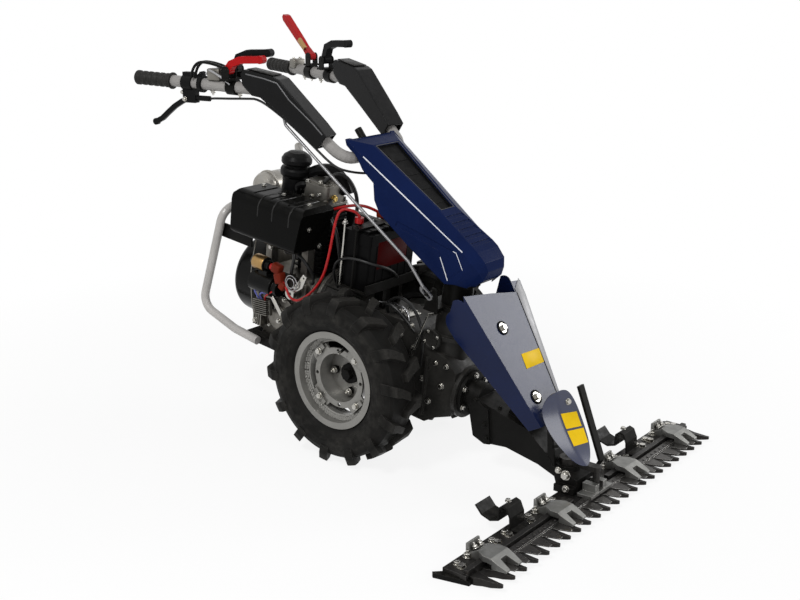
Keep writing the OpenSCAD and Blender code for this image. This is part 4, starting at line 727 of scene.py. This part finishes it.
class MOWER_OT_stage(bpy.types.Operator):
    """Floor, soft lamps, sky and the camera"""
    bl_idname = "mower.stage"
    bl_label = "Stage"

    def execute(self, context):
        stage = context.scene.mower_stage
        floor = fresh("plane", size=24, location=(0, 0, -0.0006))
        floor.name = "floor"
        t = FinishTree("pale floor")
        matt = t.add("ShaderNodeBsdfDiffuse", {"Color": (*stage.floor, 1.0)})
        glow = t.add("ShaderNodeEmission", {"Color": WHITE, "Strength": 1.0})
        x, y, _ = t.axes()
        near, far, shadowed, clear = 0.9, 2.2, 0.86, 1.0
        share = t.times(t.seen(), t.between(t.reach(x, y), near, far, shadowed, clear))
        t.surface("Material Output", share, matt.outputs["BSDF"], glow.outputs["Emission"])
        floor.data.materials.append(t.material)

        world = bpy.data.worlds.new("studio")
        context.scene.world = world
        world.use_nodes = True
        sky = NodeTree(world.node_tree)
        soft = sky.nodes["Background"]
        sky.put(soft.inputs["Color"], WHITE)
        sky.put(soft.inputs["Strength"], stage.sky)
        bright = sky.add("ShaderNodeBackground", {"Color": WHITE, "Strength": 1.0})
        sky.surface("World Output", sky.seen(), soft.outputs["Background"], bright.outputs["Background"])

        self.lamp(context, "key_lamp", (0.15, -2.5, 3.0), (0.0, 0.0, 0.5), 0.7, stage.key)
        self.lamp(context, "front_lamp", (2.2, 3.2, 1.95), (0.4, 0.0, 0.35), 1.35, stage.fill * 0.95)
        self.lamp(context, "near_lamp", (3.5, -2.0, 1.4), (0.3, 0.0, 0.25), 1.5, stage.fill * 0.5)

        bpy.ops.object.camera_add(location=(2.0825, -2.5518, 1.4173))
        camera = context.object
        camera.name = "photo_camera"
        side, rise = math.radians(38.932), math.radians(16.645)
        back = Vector((math.sin(side) * math.cos(rise), -math.cos(side) * math.cos(rise), math.sin(rise)))
        camera.rotation_euler = back.to_track_quat("Z", "Y").to_euler()
        camera.data.sensor_width = 36
        camera.data.sensor_fit = "HORIZONTAL"
        camera.data.lens = stage.lens
        camera.data.clip_end = 100
        context.scene.camera = camera
        context.scene.view_settings.view_transform = "Standard"
        return {"FINISHED"}

    @staticmethod
    def lamp(context, name, place, aim, size, power):
        """A square soft lamp that looks at a point."""
        bpy.ops.object.light_add(type="AREA", location=place)
        lamp = context.object
        lamp.name = name
        lamp.data.shape = "SQUARE"
        lamp.data.size = size
        lamp.data.energy = power
        lamp.rotation_euler = (Vector(place) - Vector(aim)).to_track_quat("Z", "Y").to_euler()


class MOWER_OT_wheels(bpy.types.Operator):
    """Tyres, rims, discs and hubs"""
    bl_idname = "mower.wheels"
    bl_label = "Wheels"

    def execute(self, context):
        dress("tyre rubber", "right_tyre", "left_tyre")
        dress("wheel silver", "right_rim", "left_rim", "right_disc", "left_disc")
        dress("cast black", "right_hub", "left_hub")
        rim_step, rim_face, hub_circle, hub_face = 0.0686, 0.2362, 0.055, 0.1852
        for side, word in ((-1, "right"), (1, "left")):
            body, out = word + "_wheel", (0, side, 0)
            rim = [on((AXLE.x + x * rim_step, side * rim_face, AXLE.z + z * rim_step), out, 1.15)
                   for x in (-1, 1) for z in (-1, 1)]
            bolts(word + "_rim_bolts", rim, body=body)
            hub = [on((AXLE.x + x * hub_circle, side * hub_face, AXLE.z + z * hub_circle), out, 1.1)
                   for x, z in ((1, 0), (-1, 0), (0, 1), (0, -1))]
            bolts(word + "_hub_nuts", hub, stud_nut, body=body)
            foot, tip = Vector((0.0194, side * 0.23, 0.3555)), Vector((0.015, side * 0.256, 0.343))
            stem = hose([foot, foot.lerp(tip, 0.4), tip], 0.0042)
            collar = hose([foot.lerp(tip, -0.1), foot.lerp(tip, 0.25)], 0.0062)
            fit(gather([stem, collar]), word + "_valve", "washer rubber", body)
            fit(hose([tip, tip + (tip - foot) * 0.35], 0.0036), word + "_valve_cap", "zinc", body)
        return {"FINISHED"}


class MOWER_OT_tractor(bpy.types.Operator):
    """Gearbox, clutch bell, engine frame and bumper"""
    bl_idname = "mower.tractor"
    bl_label = "Tractor"

    def execute(self, context):
        dress("case black", "gearbox_case", "bell_housing")
        dress("frame black", "engine_frame", "column", "bumper_strut")
        dress("bumper grey", "bumper")
        bolts("gearbox_side_bolts",
              [on((x, -0.068, z), NEAR, size) for x, z, size in
               ((0.12, 0.394, 1.0), (0.126, 0.33, 0.9), (0.226, 0.236, 1.1), (0.1, 0.29, 0.9),
                (0.244, 0.298, 0.9), (0.206, 0.3, 0.8), (0.16, 0.245, 1.0), (0.18, 0.18, 1.0),
                (0.08, 0.36, 0.9), (0.07, 0.2, 0.9))])
        flange, radius = 0.312, 0.056
        circle = [TRACTOR @ Vector((flange, radius * math.cos(a), radius * math.sin(a)))
                  for a in (math.radians(30 + 60 * k) for k in range(6))]
        bolts("flange_bolts", [on(place, AHEAD) for place in circle])
        x, z, radius = 0.196, 0.372, 0.024
        cap = settle(drum(0.03, 0.012), on((x, -0.0675, z), NEAR))
        fit(cap, "selector_cap", "case black")
        bolts("selector_cap_bolts",
              [on((x + radius * math.cos(a), -0.0795, z + radius * math.sin(a)), NEAR, 0.6)
               for a in (0.4, 1.97, 3.54, 5.11)])
        cover = plate([(-0.03, -0.024), (0.026, -0.03), (0.034, 0.022), (-0.022, 0.03)], 0.004)
        fit(settle(cover, on(Vector((0.06, -0.012, 0.4055)) + UP * 0.001, UP)),
            "gear_plate", "zinc")
        bolts("gear_plate_bolts",
              [on(Vector((x, y, 0.4068 - (x - 0.06) * 0.1317)) + UP * 0.004, UP, 0.75)
               for x, y in ((0.044, -0.028), (0.078, 0.004))])
        hoses("selector_rod", "zinc", "chrome",
              (0.0035, (-0.0455, -0.066, 0.4425), (-0.02, -0.066, 0.44), (0.03, -0.064, 0.448),
               (0.086, -0.066, 0.446), (0.112, -0.071, 0.428), (0.112, -0.071, 0.404),
               (0.109, -0.064, 0.394)))
        detent = hose([(0.2075, -0.045, 0.444), (0.192, -0.086, 0.446), (0.166, -0.084, 0.396),
                       (0.136, -0.078, 0.334), (0.134, -0.064, 0.33)], 0.0032, True)
        fit(detent, "detent_rod", "zinc")
        hoses("gearbox_hoses", "black_plastic", "black cable",
              (0.006, (0.019, -0.05, 0.409), (0.03, -0.078, 0.45), (0.06, -0.084, 0.452),
               (0.1, -0.08, 0.42), (0.128, -0.066, 0.378)),
              (0.0045, (-0.0126, -0.04, 0.413), (0.04, -0.056, 0.47), (0.098, -0.06, 0.47),
               (0.15, -0.066, 0.42), (0.168, -0.07, 0.35), (0.15, -0.066, 0.278)))
        bolts("bumper_bolts",
              [on((-0.47, side * 0.1502, 0.262), (0, side, 0), 1.1) for side in (-1, 1)])
        return {"FINISHED"}


class MOWER_OT_engine(bpy.types.Operator):
    """Engine castings, cowl, tank, filter and exhaust"""
    bl_idname = "mower.engine"
    bl_label = "Engine"

    def execute(self, context):
        dress("raw aluminium", "crankcase", "rocker_cover", "injection_pump")
        dress("fin black", "cylinder", "cylinder_head")
        dress("gloss black", "fan_cowl", "starter_motor")
        dress("tank black", "fuel_tank")
        dress("moulded black", "air_filter", "fuel_cap")
        dress("exhaust steel", "muffler")
        dress("zinc", "speed_lever")
        self.fasteners()
        self.electrics()
        self.sheets()
        self.pipes()
        return {"FINISHED"}

    @staticmethod
    def fasteners():
        """Bolts of the tank, the rocker cover and the crankcase."""
        slope = (0.95, 0, -0.3)
        bolts("tank_bolts",
              [on(place, UP, 0.8) for place in ((-0.428, -0.1, 0.738), (-0.327, -0.118, 0.7245),
                                                (-0.213, -0.129, 0.7095))]
              + [on(place, slope, 0.85) for place in ((-0.194, -0.153, 0.644), (-0.2135, -0.091, 0.581))])
        bolts("rocker_bolts",
              [on((x, y, 0.7572), UP, 0.95) for x in (-0.3, -0.25) for y in (-0.04, 0.04)]
              + [on((-0.281, -0.0462, 0.716), NEAR, 0.8), on((-0.252, -0.0462, 0.722), NEAR, 0.7)])
        bolts("fuel_union", [on((-0.2255, -0.01, 0.709), AHEAD, 1.25)], finish="brass")
        bolts("crankcase_bolts",
              [on((x, y, z), NEAR, size) for x, y, z, size in
               ((-0.41, -0.112, 0.303, 0.9), (-0.33, -0.125, 0.4, 0.9), (-0.3, -0.125, 0.35, 0.9),
                (-0.445, -0.142, 0.318, 0.9), (-0.352, -0.132, 0.33, 0.9), (-0.386, -0.112, 0.345, 0.8),
                (-0.4, -0.106, 0.552, 0.9), (-0.366, -0.132, 0.372, 0.8))])

    @staticmethod
    def electrics():
        """Starter's sleeve and boots, governor spring, regulator, stop arm and wires."""
        sleeve = settle(drum(0.0238, 0.045), ENGINE @ on((-0.218, -0.15, 0.1), (1, 0, 0)))
        fit(sleeve, "solenoid_sleeve", "bronze")
        boots = [settle(block(size, 0.006), at(*place) @ Matrix.Rotation(turn, 4, "Y"))
                 for size, place, turn in
                 (((0.034, 0.026, 0.03), (-0.322, -0.16, 0.508), 0.3),
                  ((0.028, 0.03, 0.034), (-0.312, -0.16, 0.48), -0.2),
                  ((0.024, 0.024, 0.024), (-0.298, -0.162, 0.458), 0.5))]
        fit(gather(boots), "terminal_boots", "orange rubber")
        coils = [ring(radius, 0.0018, 8, on((-0.262, y, 0.474), NEAR))
                 for radius, y in ((0.023, -0.1645), (0.015, -0.1675))]
        fit(gather(coils), "governor_spring", "chrome")
        fins = [settle(block((0.058, 0.014, 0.054), 0.003), at(-0.392, -0.152, 0.376)),
                settle(block((0.026, 0.04, 0.026), 0.003), at(-0.392, -0.13, 0.374))]
        fins += [settle(block((0.056, 0.016, 0.0026), 0.0008, 1), at(-0.392, -0.165, 0.354 + 0.0064 * k))
                 for k in range(8)]
        fit(gather(fins), "regulator", "raw aluminium")
        arm = settle(block((0.014, 0.008, 0.07)), at(-0.33, -0.16, 0.392) @ Matrix.Rotation(-0.62, 4, "Y"))
        fit(arm, "stop_arm", "zinc")
        hoses("signal_wires", "black_plastic", "blue wire",
              (0.0026, (-0.392, -0.16, 0.399), (-0.396, -0.176, 0.424), (-0.372, -0.178, 0.432),
               (-0.348, -0.172, 0.424)),
              (0.0026, (-0.404, -0.16, 0.398), (-0.41, -0.174, 0.42), (-0.42, -0.166, 0.44)))
        hoses("charge_wire", "red_cover", "red cable",
              (0.0028, (-0.376, -0.16, 0.398), (-0.372, -0.178, 0.42), (-0.34, -0.18, 0.426),
               (-0.326, -0.166, 0.446)))

    @staticmethod
    def sheets():
        """Cowl's seam, the baffle on the far side and the tank's beads, painted lighter than the tank as
        painted highlights.
        """
        hoses("cowl_seam", "raw_aluminium", "raw aluminium",
              (0.0024, (-0.436, -0.13, 0.604), (-0.44, -0.13, 0.56), (-0.462, -0.132, 0.5),
               (-0.468, -0.132, 0.43), (-0.466, -0.132, 0.35), (-0.452, -0.132, 0.312)))
        baffle = plate([(-0.105, -0.13), (0.13, -0.13), (0.13, 0.085), (0.06, 0.125), (-0.105, 0.125)], 0.002)
        parts = [settle(baffle, at(-0.24, 0.078, 0.53) @ turned(90, "X"))]
        parts += [settle(block((0.014, 0.036, 0.014)), at(x, 0.0595, z))
                  for x, z in ((-0.31, 0.52), (-0.262, 0.59))]
        fit(gather(parts), "air_baffle", "fin black")
        corner, beads = 0.0338, []
        for x in (-0.176, -0.117, -0.05):
            arc = [(x, -0.166 - corner * math.sin(a), 0.286 + corner * math.cos(a))
                   for a in (math.radians(9 * k) for k in range(11))]
            line = [(x, -0.075, 0.3198), *arc, (x, -0.1998, 0.262)]
            beads.append(hose([ENGINE @ Vector(place) for place in line], 0.0022, True, 2))
        fit(gather(beads), "tank_beads", "bead black")

    @staticmethod
    def pipes():
        """Fuel hoses, intake duct and breather hoses."""
        hoses("fuel_hoses", "black_plastic", "black cable",
              (0.0055, (-0.262, -0.15, 0.584), (-0.25, -0.158, 0.55), (-0.262, -0.16, 0.52),
               (-0.276, -0.15, 0.492), (-0.287, -0.132, 0.482)),
              (0.0045, (-0.236, -0.12, 0.588), (-0.216, -0.128, 0.56), (-0.214, -0.13, 0.64),
               (-0.206, -0.06, 0.7), (-0.222, -0.02, 0.706)),
              (0.005, (-0.329, -0.118, 0.59), (-0.33, -0.12, 0.545), (-0.3, -0.13, 0.556),
               (-0.262, -0.126, 0.556), (-0.236, -0.118, 0.52), (-0.222, -0.1, 0.48), (-0.239, -0.1, 0.4575)))
        hoses("intake_duct", "black_plastic", "moulded black",
              (0.019, (-0.375, 0.01, 0.742), (-0.345, 0.02, 0.772), (-0.3, 0.026, 0.786),
               (-0.258, 0.034, 0.784), (-0.226, 0.04, 0.758), (-0.214, 0.042, 0.716)),
              (0.01, (-0.352, -0.03, 0.724), (-0.338, -0.052, 0.742), (-0.318, -0.05, 0.752),
               (-0.304, -0.03, 0.744)))
        hoses("breather_hoses", "black_plastic", "black cable",
              (0.006, (-0.252, -0.03, 0.752), (-0.214, -0.01, 0.8), (-0.178, 0.02, 0.77),
               (-0.16, 0.03, 0.7), (-0.172, 0.02, 0.62), (-0.2, 0.02, 0.572), (-0.242, 0.02, 0.564)),
              (0.006, (-0.232, -0.044, 0.69), (-0.2, -0.06, 0.672), (-0.17, -0.064, 0.64),
               (-0.16, -0.06, 0.56), (-0.168, -0.046, 0.5), (-0.1735, -0.0375, 0.4735)))


class MOWER_OT_battery(bpy.types.Operator):
    """Battery, its carrier and cable"""
    bl_idname = "mower.battery"
    bl_label = "Battery"

    def execute(self, context):
        dress("battery black", "battery")
        dress("frame black", "battery_carrier")
        dress("red cable", "battery_cable")
        foot = Vector((-0.0985, -0.131, 0.492))
        fit(hose([foot, foot + UP * 0.19], 0.0032, True), "battery_rod", "zinc")
        bolts("battery_nut", [on(foot + UP * 0.186, UP, 0.95)], stud_nut)
        strap = plate([(-0.01, -0.112), (0.01, -0.112), (0.01, 0.09), (-0.01, 0.09)], 0.003)
        fit(settle(strap, on(Vector((-0.07, -0.01, 0.6685)) + UP * 0.0015, UP)),
            "battery_strap", "strap grey")
        sheet = plate([(-0.045, -0.066), (0.036, -0.066), (0.036, 0.066), (-0.045, 0.066)], 0.0008, 0.0003)
        face = Matrix((AHEAD, (0, 1, 0), UP)).transposed().to_4x4()
        front = Vector((0.0085, -0.022, 0.58)) + AHEAD * 0.0006
        fit(settle(sheet, at(*front) @ face @ turned(90, "Y")),
            "battery_plate", "dark red plate")
        hoses("earth_cable", "black_plastic", "black cable",
              (0.0042, (-0.1541, -0.0747, 0.4589), (-0.15, -0.1, 0.49), (-0.128, -0.128, 0.548),
               (-0.08, -0.1345, 0.578), (-0.02, -0.1345, 0.58), (0.028, -0.118, 0.566), (0.028, -0.06, 0.548),
               (0.022, -0.02, 0.52), (0.003, 0.01, 0.5015)))
        hoses("starter_lead", "red_cover", "red cable",
              (0.0045, (-0.228, -0.03, 0.674), (-0.19, -0.028, 0.69), (-0.15, -0.02, 0.7),
               (-0.12, -0.012, 0.704), (-0.094, 0.004, 0.698), (-0.076, 0.022, 0.682)))
        fit(settle(block((0.034, 0.026, 0.022), 0.005), at(-0.066, 0.028, 0.677)),
            "terminal_cover", "orange rubber")
        return {"FINISHED"}


class MOWER_OT_hood(bpy.types.Operator):
    """Hood and its recessed panel, with pale beads along its creases that paint their highlights"""
    bl_idname = "mower.hood"
    bl_label = "Hood"

    def execute(self, context):
        dress("navy hood", "hood")
        dress("panel black", "hood_panel")
        bead = [ROOF @ Vector((x, y, 0)) for x, y in
                ((0.005, -0.05), (0.273, -0.0293), (0.273, 0.0293), (0.005, 0.05), (0.005, -0.05))]
        fit(hose(bead, 0.0013, True, 2), "panel_bead", "rim grey", "handlebar")
        # pale beads on the side crease and the wedge folds paint the highlights that those edges catch
        taper, fall = 0.077, 0.048
        folds = (((0.448, -0.0385), (0.458, -0.036), (0.5, -0.064)), ((0.424, -0.08), (0.478, -0.122)))
        for side, word in ((-1, "right"), (1, "left")):
            lines = [[(u, side * (0.107 - taper * u), 0.0013 - fall * u) for u in (0.075, 0.2, 0.34, 0.472)]]
            lines += [[(u, side * (0.1076 - taper * u), v) for u, v in fold] for fold in folds]
            beads = [hose([HOOD @ Vector(place) for place in line], thick, True)
                     for line, thick in zip(lines, (0.0018, 0.0014, 0.0014))]
            fit(gather(beads), word + "_creases", "crease gloss", "handlebar")
        return {"FINISHED"}


class MOWER_OT_handlebars(bpy.types.Operator):
    """Handlebar tube, shells, grips and levers"""
    bl_idname = "mower.handlebars"
    bl_label = "Handlebars"

    def execute(self, context):
        dress("tube grey", "handlebar_tube")
        dress("shell black", "right_arm_shell", "left_arm_shell")
        dress("moulded black", "brake_perch", "brake_lever", "throttle_lever", "right_steer_lever",
              "left_steer_lever")
        dress("grip rubber", "grips")
        dress("frame black", "lever_brackets", "lock_lever")
        dress("red lever", "clutch_lever", "gear_lever")
        dress("rod plating", "shift_rod")
        dress("black cable", "brake_cable")
        tail = [(-0.0765, -0.1318, 0.8297), (-0.0695, -0.114, 0.8234), (-0.062, -0.085, 0.816),
                (-0.056, -0.055, 0.812), (-0.052, -0.028, 0.81)]
        tip = settle(drum(0.0062, 0.01), on((-0.0525, -0.0315, 0.8102), NEAR))
        fit(gather([hose(tail, 0.0035), tip]), "cable_tail", "black cable", "handlebar")
        self.arms()
        self.controls()
        return {"FINISHED"}

    @staticmethod
    def arms():
        """Grey ridges on the shells that paint their highlight lines, lids on the shells, and the nuts under
        the arms.
        """
        down = (0, 0, -1)
        for word, arm in (("right", RIGHT_ARM), ("left", LEFT_ARM)):
            # a raised line in grey, lighter than the shell: the painted highlight of the shell's crease
            ridge = [arm @ Vector((x, 0.0287, z)) for x, z in
                     ((0.246, 0.178), (0.186, 0.168), (0.142, 0.157), (0.104, 0.113), (0.028, 0.051),
                      (-0.002, 0.022))]
            fit(hose(ridge, 0.0022, True, 2), word + "_ridge", "ridge black", "handlebar")
            lid = plate([(-0.046, -0.024), (0.042, -0.022), (0.042, 0.022), (-0.046, 0.024)], 0.0028, 0.001)
            settle(lid, arm @ at(0.204, 0, 0.1832) @ turned(-9.5, "Y"))
            fit(lid, word + "_arm_lid", "frame black", "handlebar")
        under = [on(arm @ Vector((x, 0, 0.1225 + (x - 0.382) * 0.035)), down, 0.95)
                 for arm, places in ((RIGHT_ARM, (0.382, 0.288)), (LEFT_ARM, (0.456, 0.416, 0.366)))
                 for x in places]
        bolts("tube_bolts", under, stud_nut, body="handlebar")
        out = RIGHT_ARM.to_3x3() @ Vector((0, 1, 0))
        bolts("perch_bolts", [on((-0.588, -0.2562, 1.001), out, 0.8), on((-0.6, -0.2535, 1.02), out, 0.7)],
              body="handlebar")

    @staticmethod
    def controls():
        """Control bracket, links and cable stop on the right, saddle and latch on the left."""
        loops = [hose([RIGHT_ARM @ Vector((x, y, z)) for x, z in
                       ((0.44, 0.16), (0.436, 0.182), (0.418, 0.204), (0.392, 0.206), (0.346, 0.199),
                        (0.312, 0.186))], 0.0042) for y in (0.024, 0.004)]
        loops.append(hose([RIGHT_ARM @ Vector((0.402, y, 0.2045)) for y in (0.026, 0.002)], 0.004, True))
        fit(gather(loops), "control_bracket", "gloss black", "handlebar")
        links = [hose([RIGHT_ARM @ Vector((x, y, z)) for x, z in line], 0.0032) for y, line in
                 ((0.03, ((0.372, 0.184), (0.345, 0.176), (0.3, 0.146))),
                  (0.012, ((0.396, 0.17), (0.36, 0.19), (0.33, 0.192))))]
        fit(gather(links), "clutch_links", "chrome", "handlebar")
        tower = settle(block((0.044, 0.03, 0.034), 0.005), RIGHT_ARM @ at(0.366, 0.006, 0.17))
        fit(tower, "cable_stop", "raw aluminium", "handlebar")
        saddle = settle(block((0.03, 0.044, 0.03), 0.005), LEFT_ARM @ at(0.5, 0, 0.16))
        fit(saddle, "gear_saddle", "raw aluminium", "handlebar")
        bolts("saddle_bolts", [on(LEFT_ARM @ Vector((0.5, y, 0.175)), size=0.7) for y in (-0.012, 0.012)],
              body="handlebar")
        latch = block((0.044, 0.01, 0.016), 0.003)
        settle(latch, LEFT_ARM @ at(0.447, -0.0155, 0.226) @ turned(-40, "Y"))
        fit(latch, "gear_latch", "bronze", "gear")


class MOWER_OT_shields(bpy.types.Operator):
    """Mower arm, shields and guard strap"""
    bl_idname = "mower.shields"
    bl_label = "Shields"

    def execute(self, context):
        dress("cast black", "mower_arm")
        dress("navy shield", "shield_front", "shield_side", "shield_lower")
        dress("zinc", "shield_bolts")
        dress("frame black", "guard_strap")
        washers = [ring(0.0172, 0.0032, 10, SHIELD @ at(x, -0.022, 0.0012)) for x in (0.118, 0.326)]
        fit(gather(washers), "shield_washers", "washer rubber")
        upper = plate([(0.247, -0.005), (0.25, 0.08), (0.209, 0.087), (0.204, 0.002)], 0.0007, 0.0002)
        fit(settle(upper, SHIELD @ at(0, 0, 0.0003)), "upper_plate", "yellow plate")
        # the far flange belongs to the navy shield; its grey paints the pale reflection seen on the front
        # sheet
        flange = plate([(0.03, 0.112), (0.004, 0.15), (0.05, 0.148), (0.3376, 0.085), (0.3364, 0.063)],
                       0.0015)
        fit(settle(flange, SHIELD @ at(0, 0, -0.0029)), "far_flange", "trim grey")
        # a black bead along the fold between the front sheet and the far flange: painted shade of the fold
        seam = [SHIELD @ Vector(place) for place in ((0.041, 0.1098, -0.0004), (0.345, 0.07, -0.0004))]
        fit(hose(seam, 0.0017, True), "flange_seam", "washer rubber")
        cover = fit(self.cover(), "lower_cover", "navy cover", smooth=30)
        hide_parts("shield_lower")
        context.view_layer.update()
        self.stays(cover)
        labels = [self.label(cover, *edges) for edges in ((1.9, 2.95, 0.03, 0.84), (3.08, 4.0, 0.03, 0.9))]
        fit(gather(labels), "lower_plates", "yellow plate")
        share = 0.58
        down = self.across(1.6, share) - self.across(0.6, share)
        face = down.cross(self.across(1, 0.9) - self.across(1, 0.2))
        bolts("cover_bolt", [on(self.across(1, share), face, 0.95)])
        bolts("arm_bolts",
              [on((0.335, -0.05, 0.215), (0.41, 0, 0.91), 0.8),
               on((0.397, -0.021, 0.198), (0.27, 0, 0.96), 0.8),
               on((0.366, -0.0522, 0.15), NEAR), on((0.374, -0.0522, 0.112), NEAR)],
              finish="cast black")
        bolts("foot_bolts", [on((0.63, -0.0442, 0.07), NEAR, 1.5), on((0.642, -0.0622, 0.04), NEAR, 1.1),
                                        on((0.606, -0.0442, 0.078), NEAR)])
        return {"FINISHED"}

    @staticmethod
    def across(station, share):
        """A point on the far half of the lower cover."""
        low = min(int(station), len(COVER) - 2)
        ends = [Vector(COVER[low][k]).lerp(Vector(COVER[low + 1][k]), station - low) for k in (1, 2)]
        return ends[0].lerp(ends[1], share)

    @staticmethod
    def stays(cover):
        """Two flat stays that carry the lower cover, each as tall as the gap behind it."""
        ahead, sunk, thick, parts = Vector((0.9285, 0, 0.3714)), 0.0016, 0.0022, []
        for foot, wide in (((0.5326, 0.012, 0.2311), 0.007), ((0.5834, -0.0387, 0.1382), 0.008)):
            foot = Vector(foot)
            found, top, _, _ = cover.ray_cast(foot, ahead)
            if not found:
                raise RuntimeError("the lower cover is not over its stay")
            tall = (top - foot).length + 0.0018
            middle = foot + ahead * (tall / 2 - sunk)
            parts.append(settle(block((thick, wide, tall), 0.0004), on(middle, ahead)))
        fit(gather(parts), "cover_stays", "frame black")

    @staticmethod
    def cover():
        """The folded leaf over the knife drive: rounded outline, firm fold, even thickness."""
        obj = fresh("grid", x_subdivisions=2, y_subdivisions=len(COVER) - 1, size=1)
        for corner in obj.data.vertices:
            row = round((0.5 - corner.co.y) * (len(COVER) - 1))
            corner.co = COVER[row][round((corner.co.x + 0.5) * 2)]
        bpy.ops.object.mode_set(mode="EDIT")
        bpy.ops.mesh.select_mode(type="EDGE")
        bpy.ops.mesh.select_all(action="DESELECT")
        mesh = bmesh.from_edit_mesh(obj.data)
        for edge in mesh.edges:
            edge.select_set(len(edge.link_faces) == 2 and all(
                any((v.co - Vector(row[1])).length < 1e-5 for row in COVER) for v in edge.verts))
        bmesh.update_edit_mesh(obj.data)
        bpy.ops.transform.edge_crease(value=0.8)
        bpy.ops.object.mode_set(mode="OBJECT")
        turn_out()
        if sum(face.normal.x for face in obj.data.polygons) < 0:
            obj.data.flip_normals()
        smooth = obj.modifiers.new("smooth", "SUBSURF")
        smooth.levels = smooth.render_levels = 3
        wall = obj.modifiers.new("wall", "SOLIDIFY")
        wall.thickness = 0.003
        wall.offset = -1
        for name in ("smooth", "wall"):
            bpy.ops.object.modifier_apply(modifier=name)
        return obj

    @classmethod
    def label(cls, cover, first, last, low, high):
        """A thin bare plate that follows the lower cover."""
        obj = fresh("grid", x_subdivisions=8, y_subdivisions=8, size=1)
        for corner in obj.data.vertices:
            x, y = corner.co.x + 0.5, 0.5 - corner.co.y
            corner.co = cls.across(first + (last - first) * y, low + (high - low) * x)
        lay = obj.modifiers.new("lay", "SHRINKWRAP")
        lay.target = cover
        lay.wrap_mode = "ABOVE_SURFACE"
        lay.offset = 0.0007
        wall = obj.modifiers.new("wall", "SOLIDIFY")
        wall.thickness = 0.0005
        for name in ("lay", "wall"):
            bpy.ops.object.modifier_apply(modifier=name)
        return obj


class MOWER_OT_cutter_bar(bpy.types.Operator):
    """Finger bar, knife, clips and shoes"""
    bl_idname = "mower.cutter_bar"
    bl_label = "Cutter Bar"

    def execute(self, context):
        dress("bar steel", "cutter_bar", "drive_lever")
        dress("clip casting", "knife_head", "knife_clips")
        dress("finger steel", "fingers")
        dress("knife steel", "knife")
        dress("frame black", "shoes")
        dress("zinc", "bar_bolts")
        clips = (-0.475, -0.175, 0.175, 0.475)
        bar_top = 0.0242
        nuts = [on((0.634, y + d, bar_top), size=1.25) for y in clips for d in (-0.026, 0.026)]
        nuts += [on((0.646, y + d, 0.0452), (-0.45, 0, 0.89)) for y in clips for d in (-0.01, 0.012)]
        bolts("clip_nuts", nuts, stud_nut)
        bolts("bar_nuts", [on((0.636, side * y, bar_top), size=1.1) for side in (-1, 1)
                                      for y in (0.118, 0.235, 0.345, 0.4, 0.545)])
        bolts("runner_bolts", [on((0.614, y, 0.087), size=0.9) for y in (-0.299, 0.299)])
        first, pitch = -0.4875, 0.025
        bolts("knife_rivets", [on((0.702, first + pitch * k, 0.0271)) for k in range(40)],
              rivet, "knife steel", "knife_bar")
        return {"FINISHED"}


STEPS = (MOWER_OT_stage, MOWER_OT_wheels, MOWER_OT_tractor, MOWER_OT_engine, MOWER_OT_battery, MOWER_OT_hood,
         MOWER_OT_handlebars, MOWER_OT_shields, MOWER_OT_cutter_bar)


class MOWER_PT_panel(bpy.types.Panel):
    """Steps and settings of the mower"""
    bl_idname = "MOWER_PT_panel"
    bl_label = "Sickle Bar Mower"
    bl_space_type = "VIEW_3D"
    bl_region_type = "UI"
    bl_category = "Mower"

    def draw(self, context):
        for step in STEPS:
            self.layout.operator(step.bl_idname)
        for group in (context.scene.mower_colours, context.scene.mower_stage):
            box = self.layout.box()
            for name in group.__annotations__:
                box.prop(group, name)


CLASSES = (MowerColours, MowerStage, *STEPS, MOWER_PT_panel)


def register():
    for cls in CLASSES:
        bpy.utils.register_class(cls)
    bpy.types.Scene.mower_colours = PointerProperty(type=MowerColours)
    bpy.types.Scene.mower_stage = PointerProperty(type=MowerStage)


def unregister():
    del bpy.types.Scene.mower_stage
    del bpy.types.Scene.mower_colours
    for cls in reversed(CLASSES):
        bpy.utils.unregister_class(cls)


def main():
    register()
    for step in STEPS:
        area, name = step.bl_idname.split(".")
        getattr(getattr(bpy.ops, area), name)()
    for made in MODELS.values():
        bpy.data.objects.remove(made)


if __name__ == "__main__":
    main()
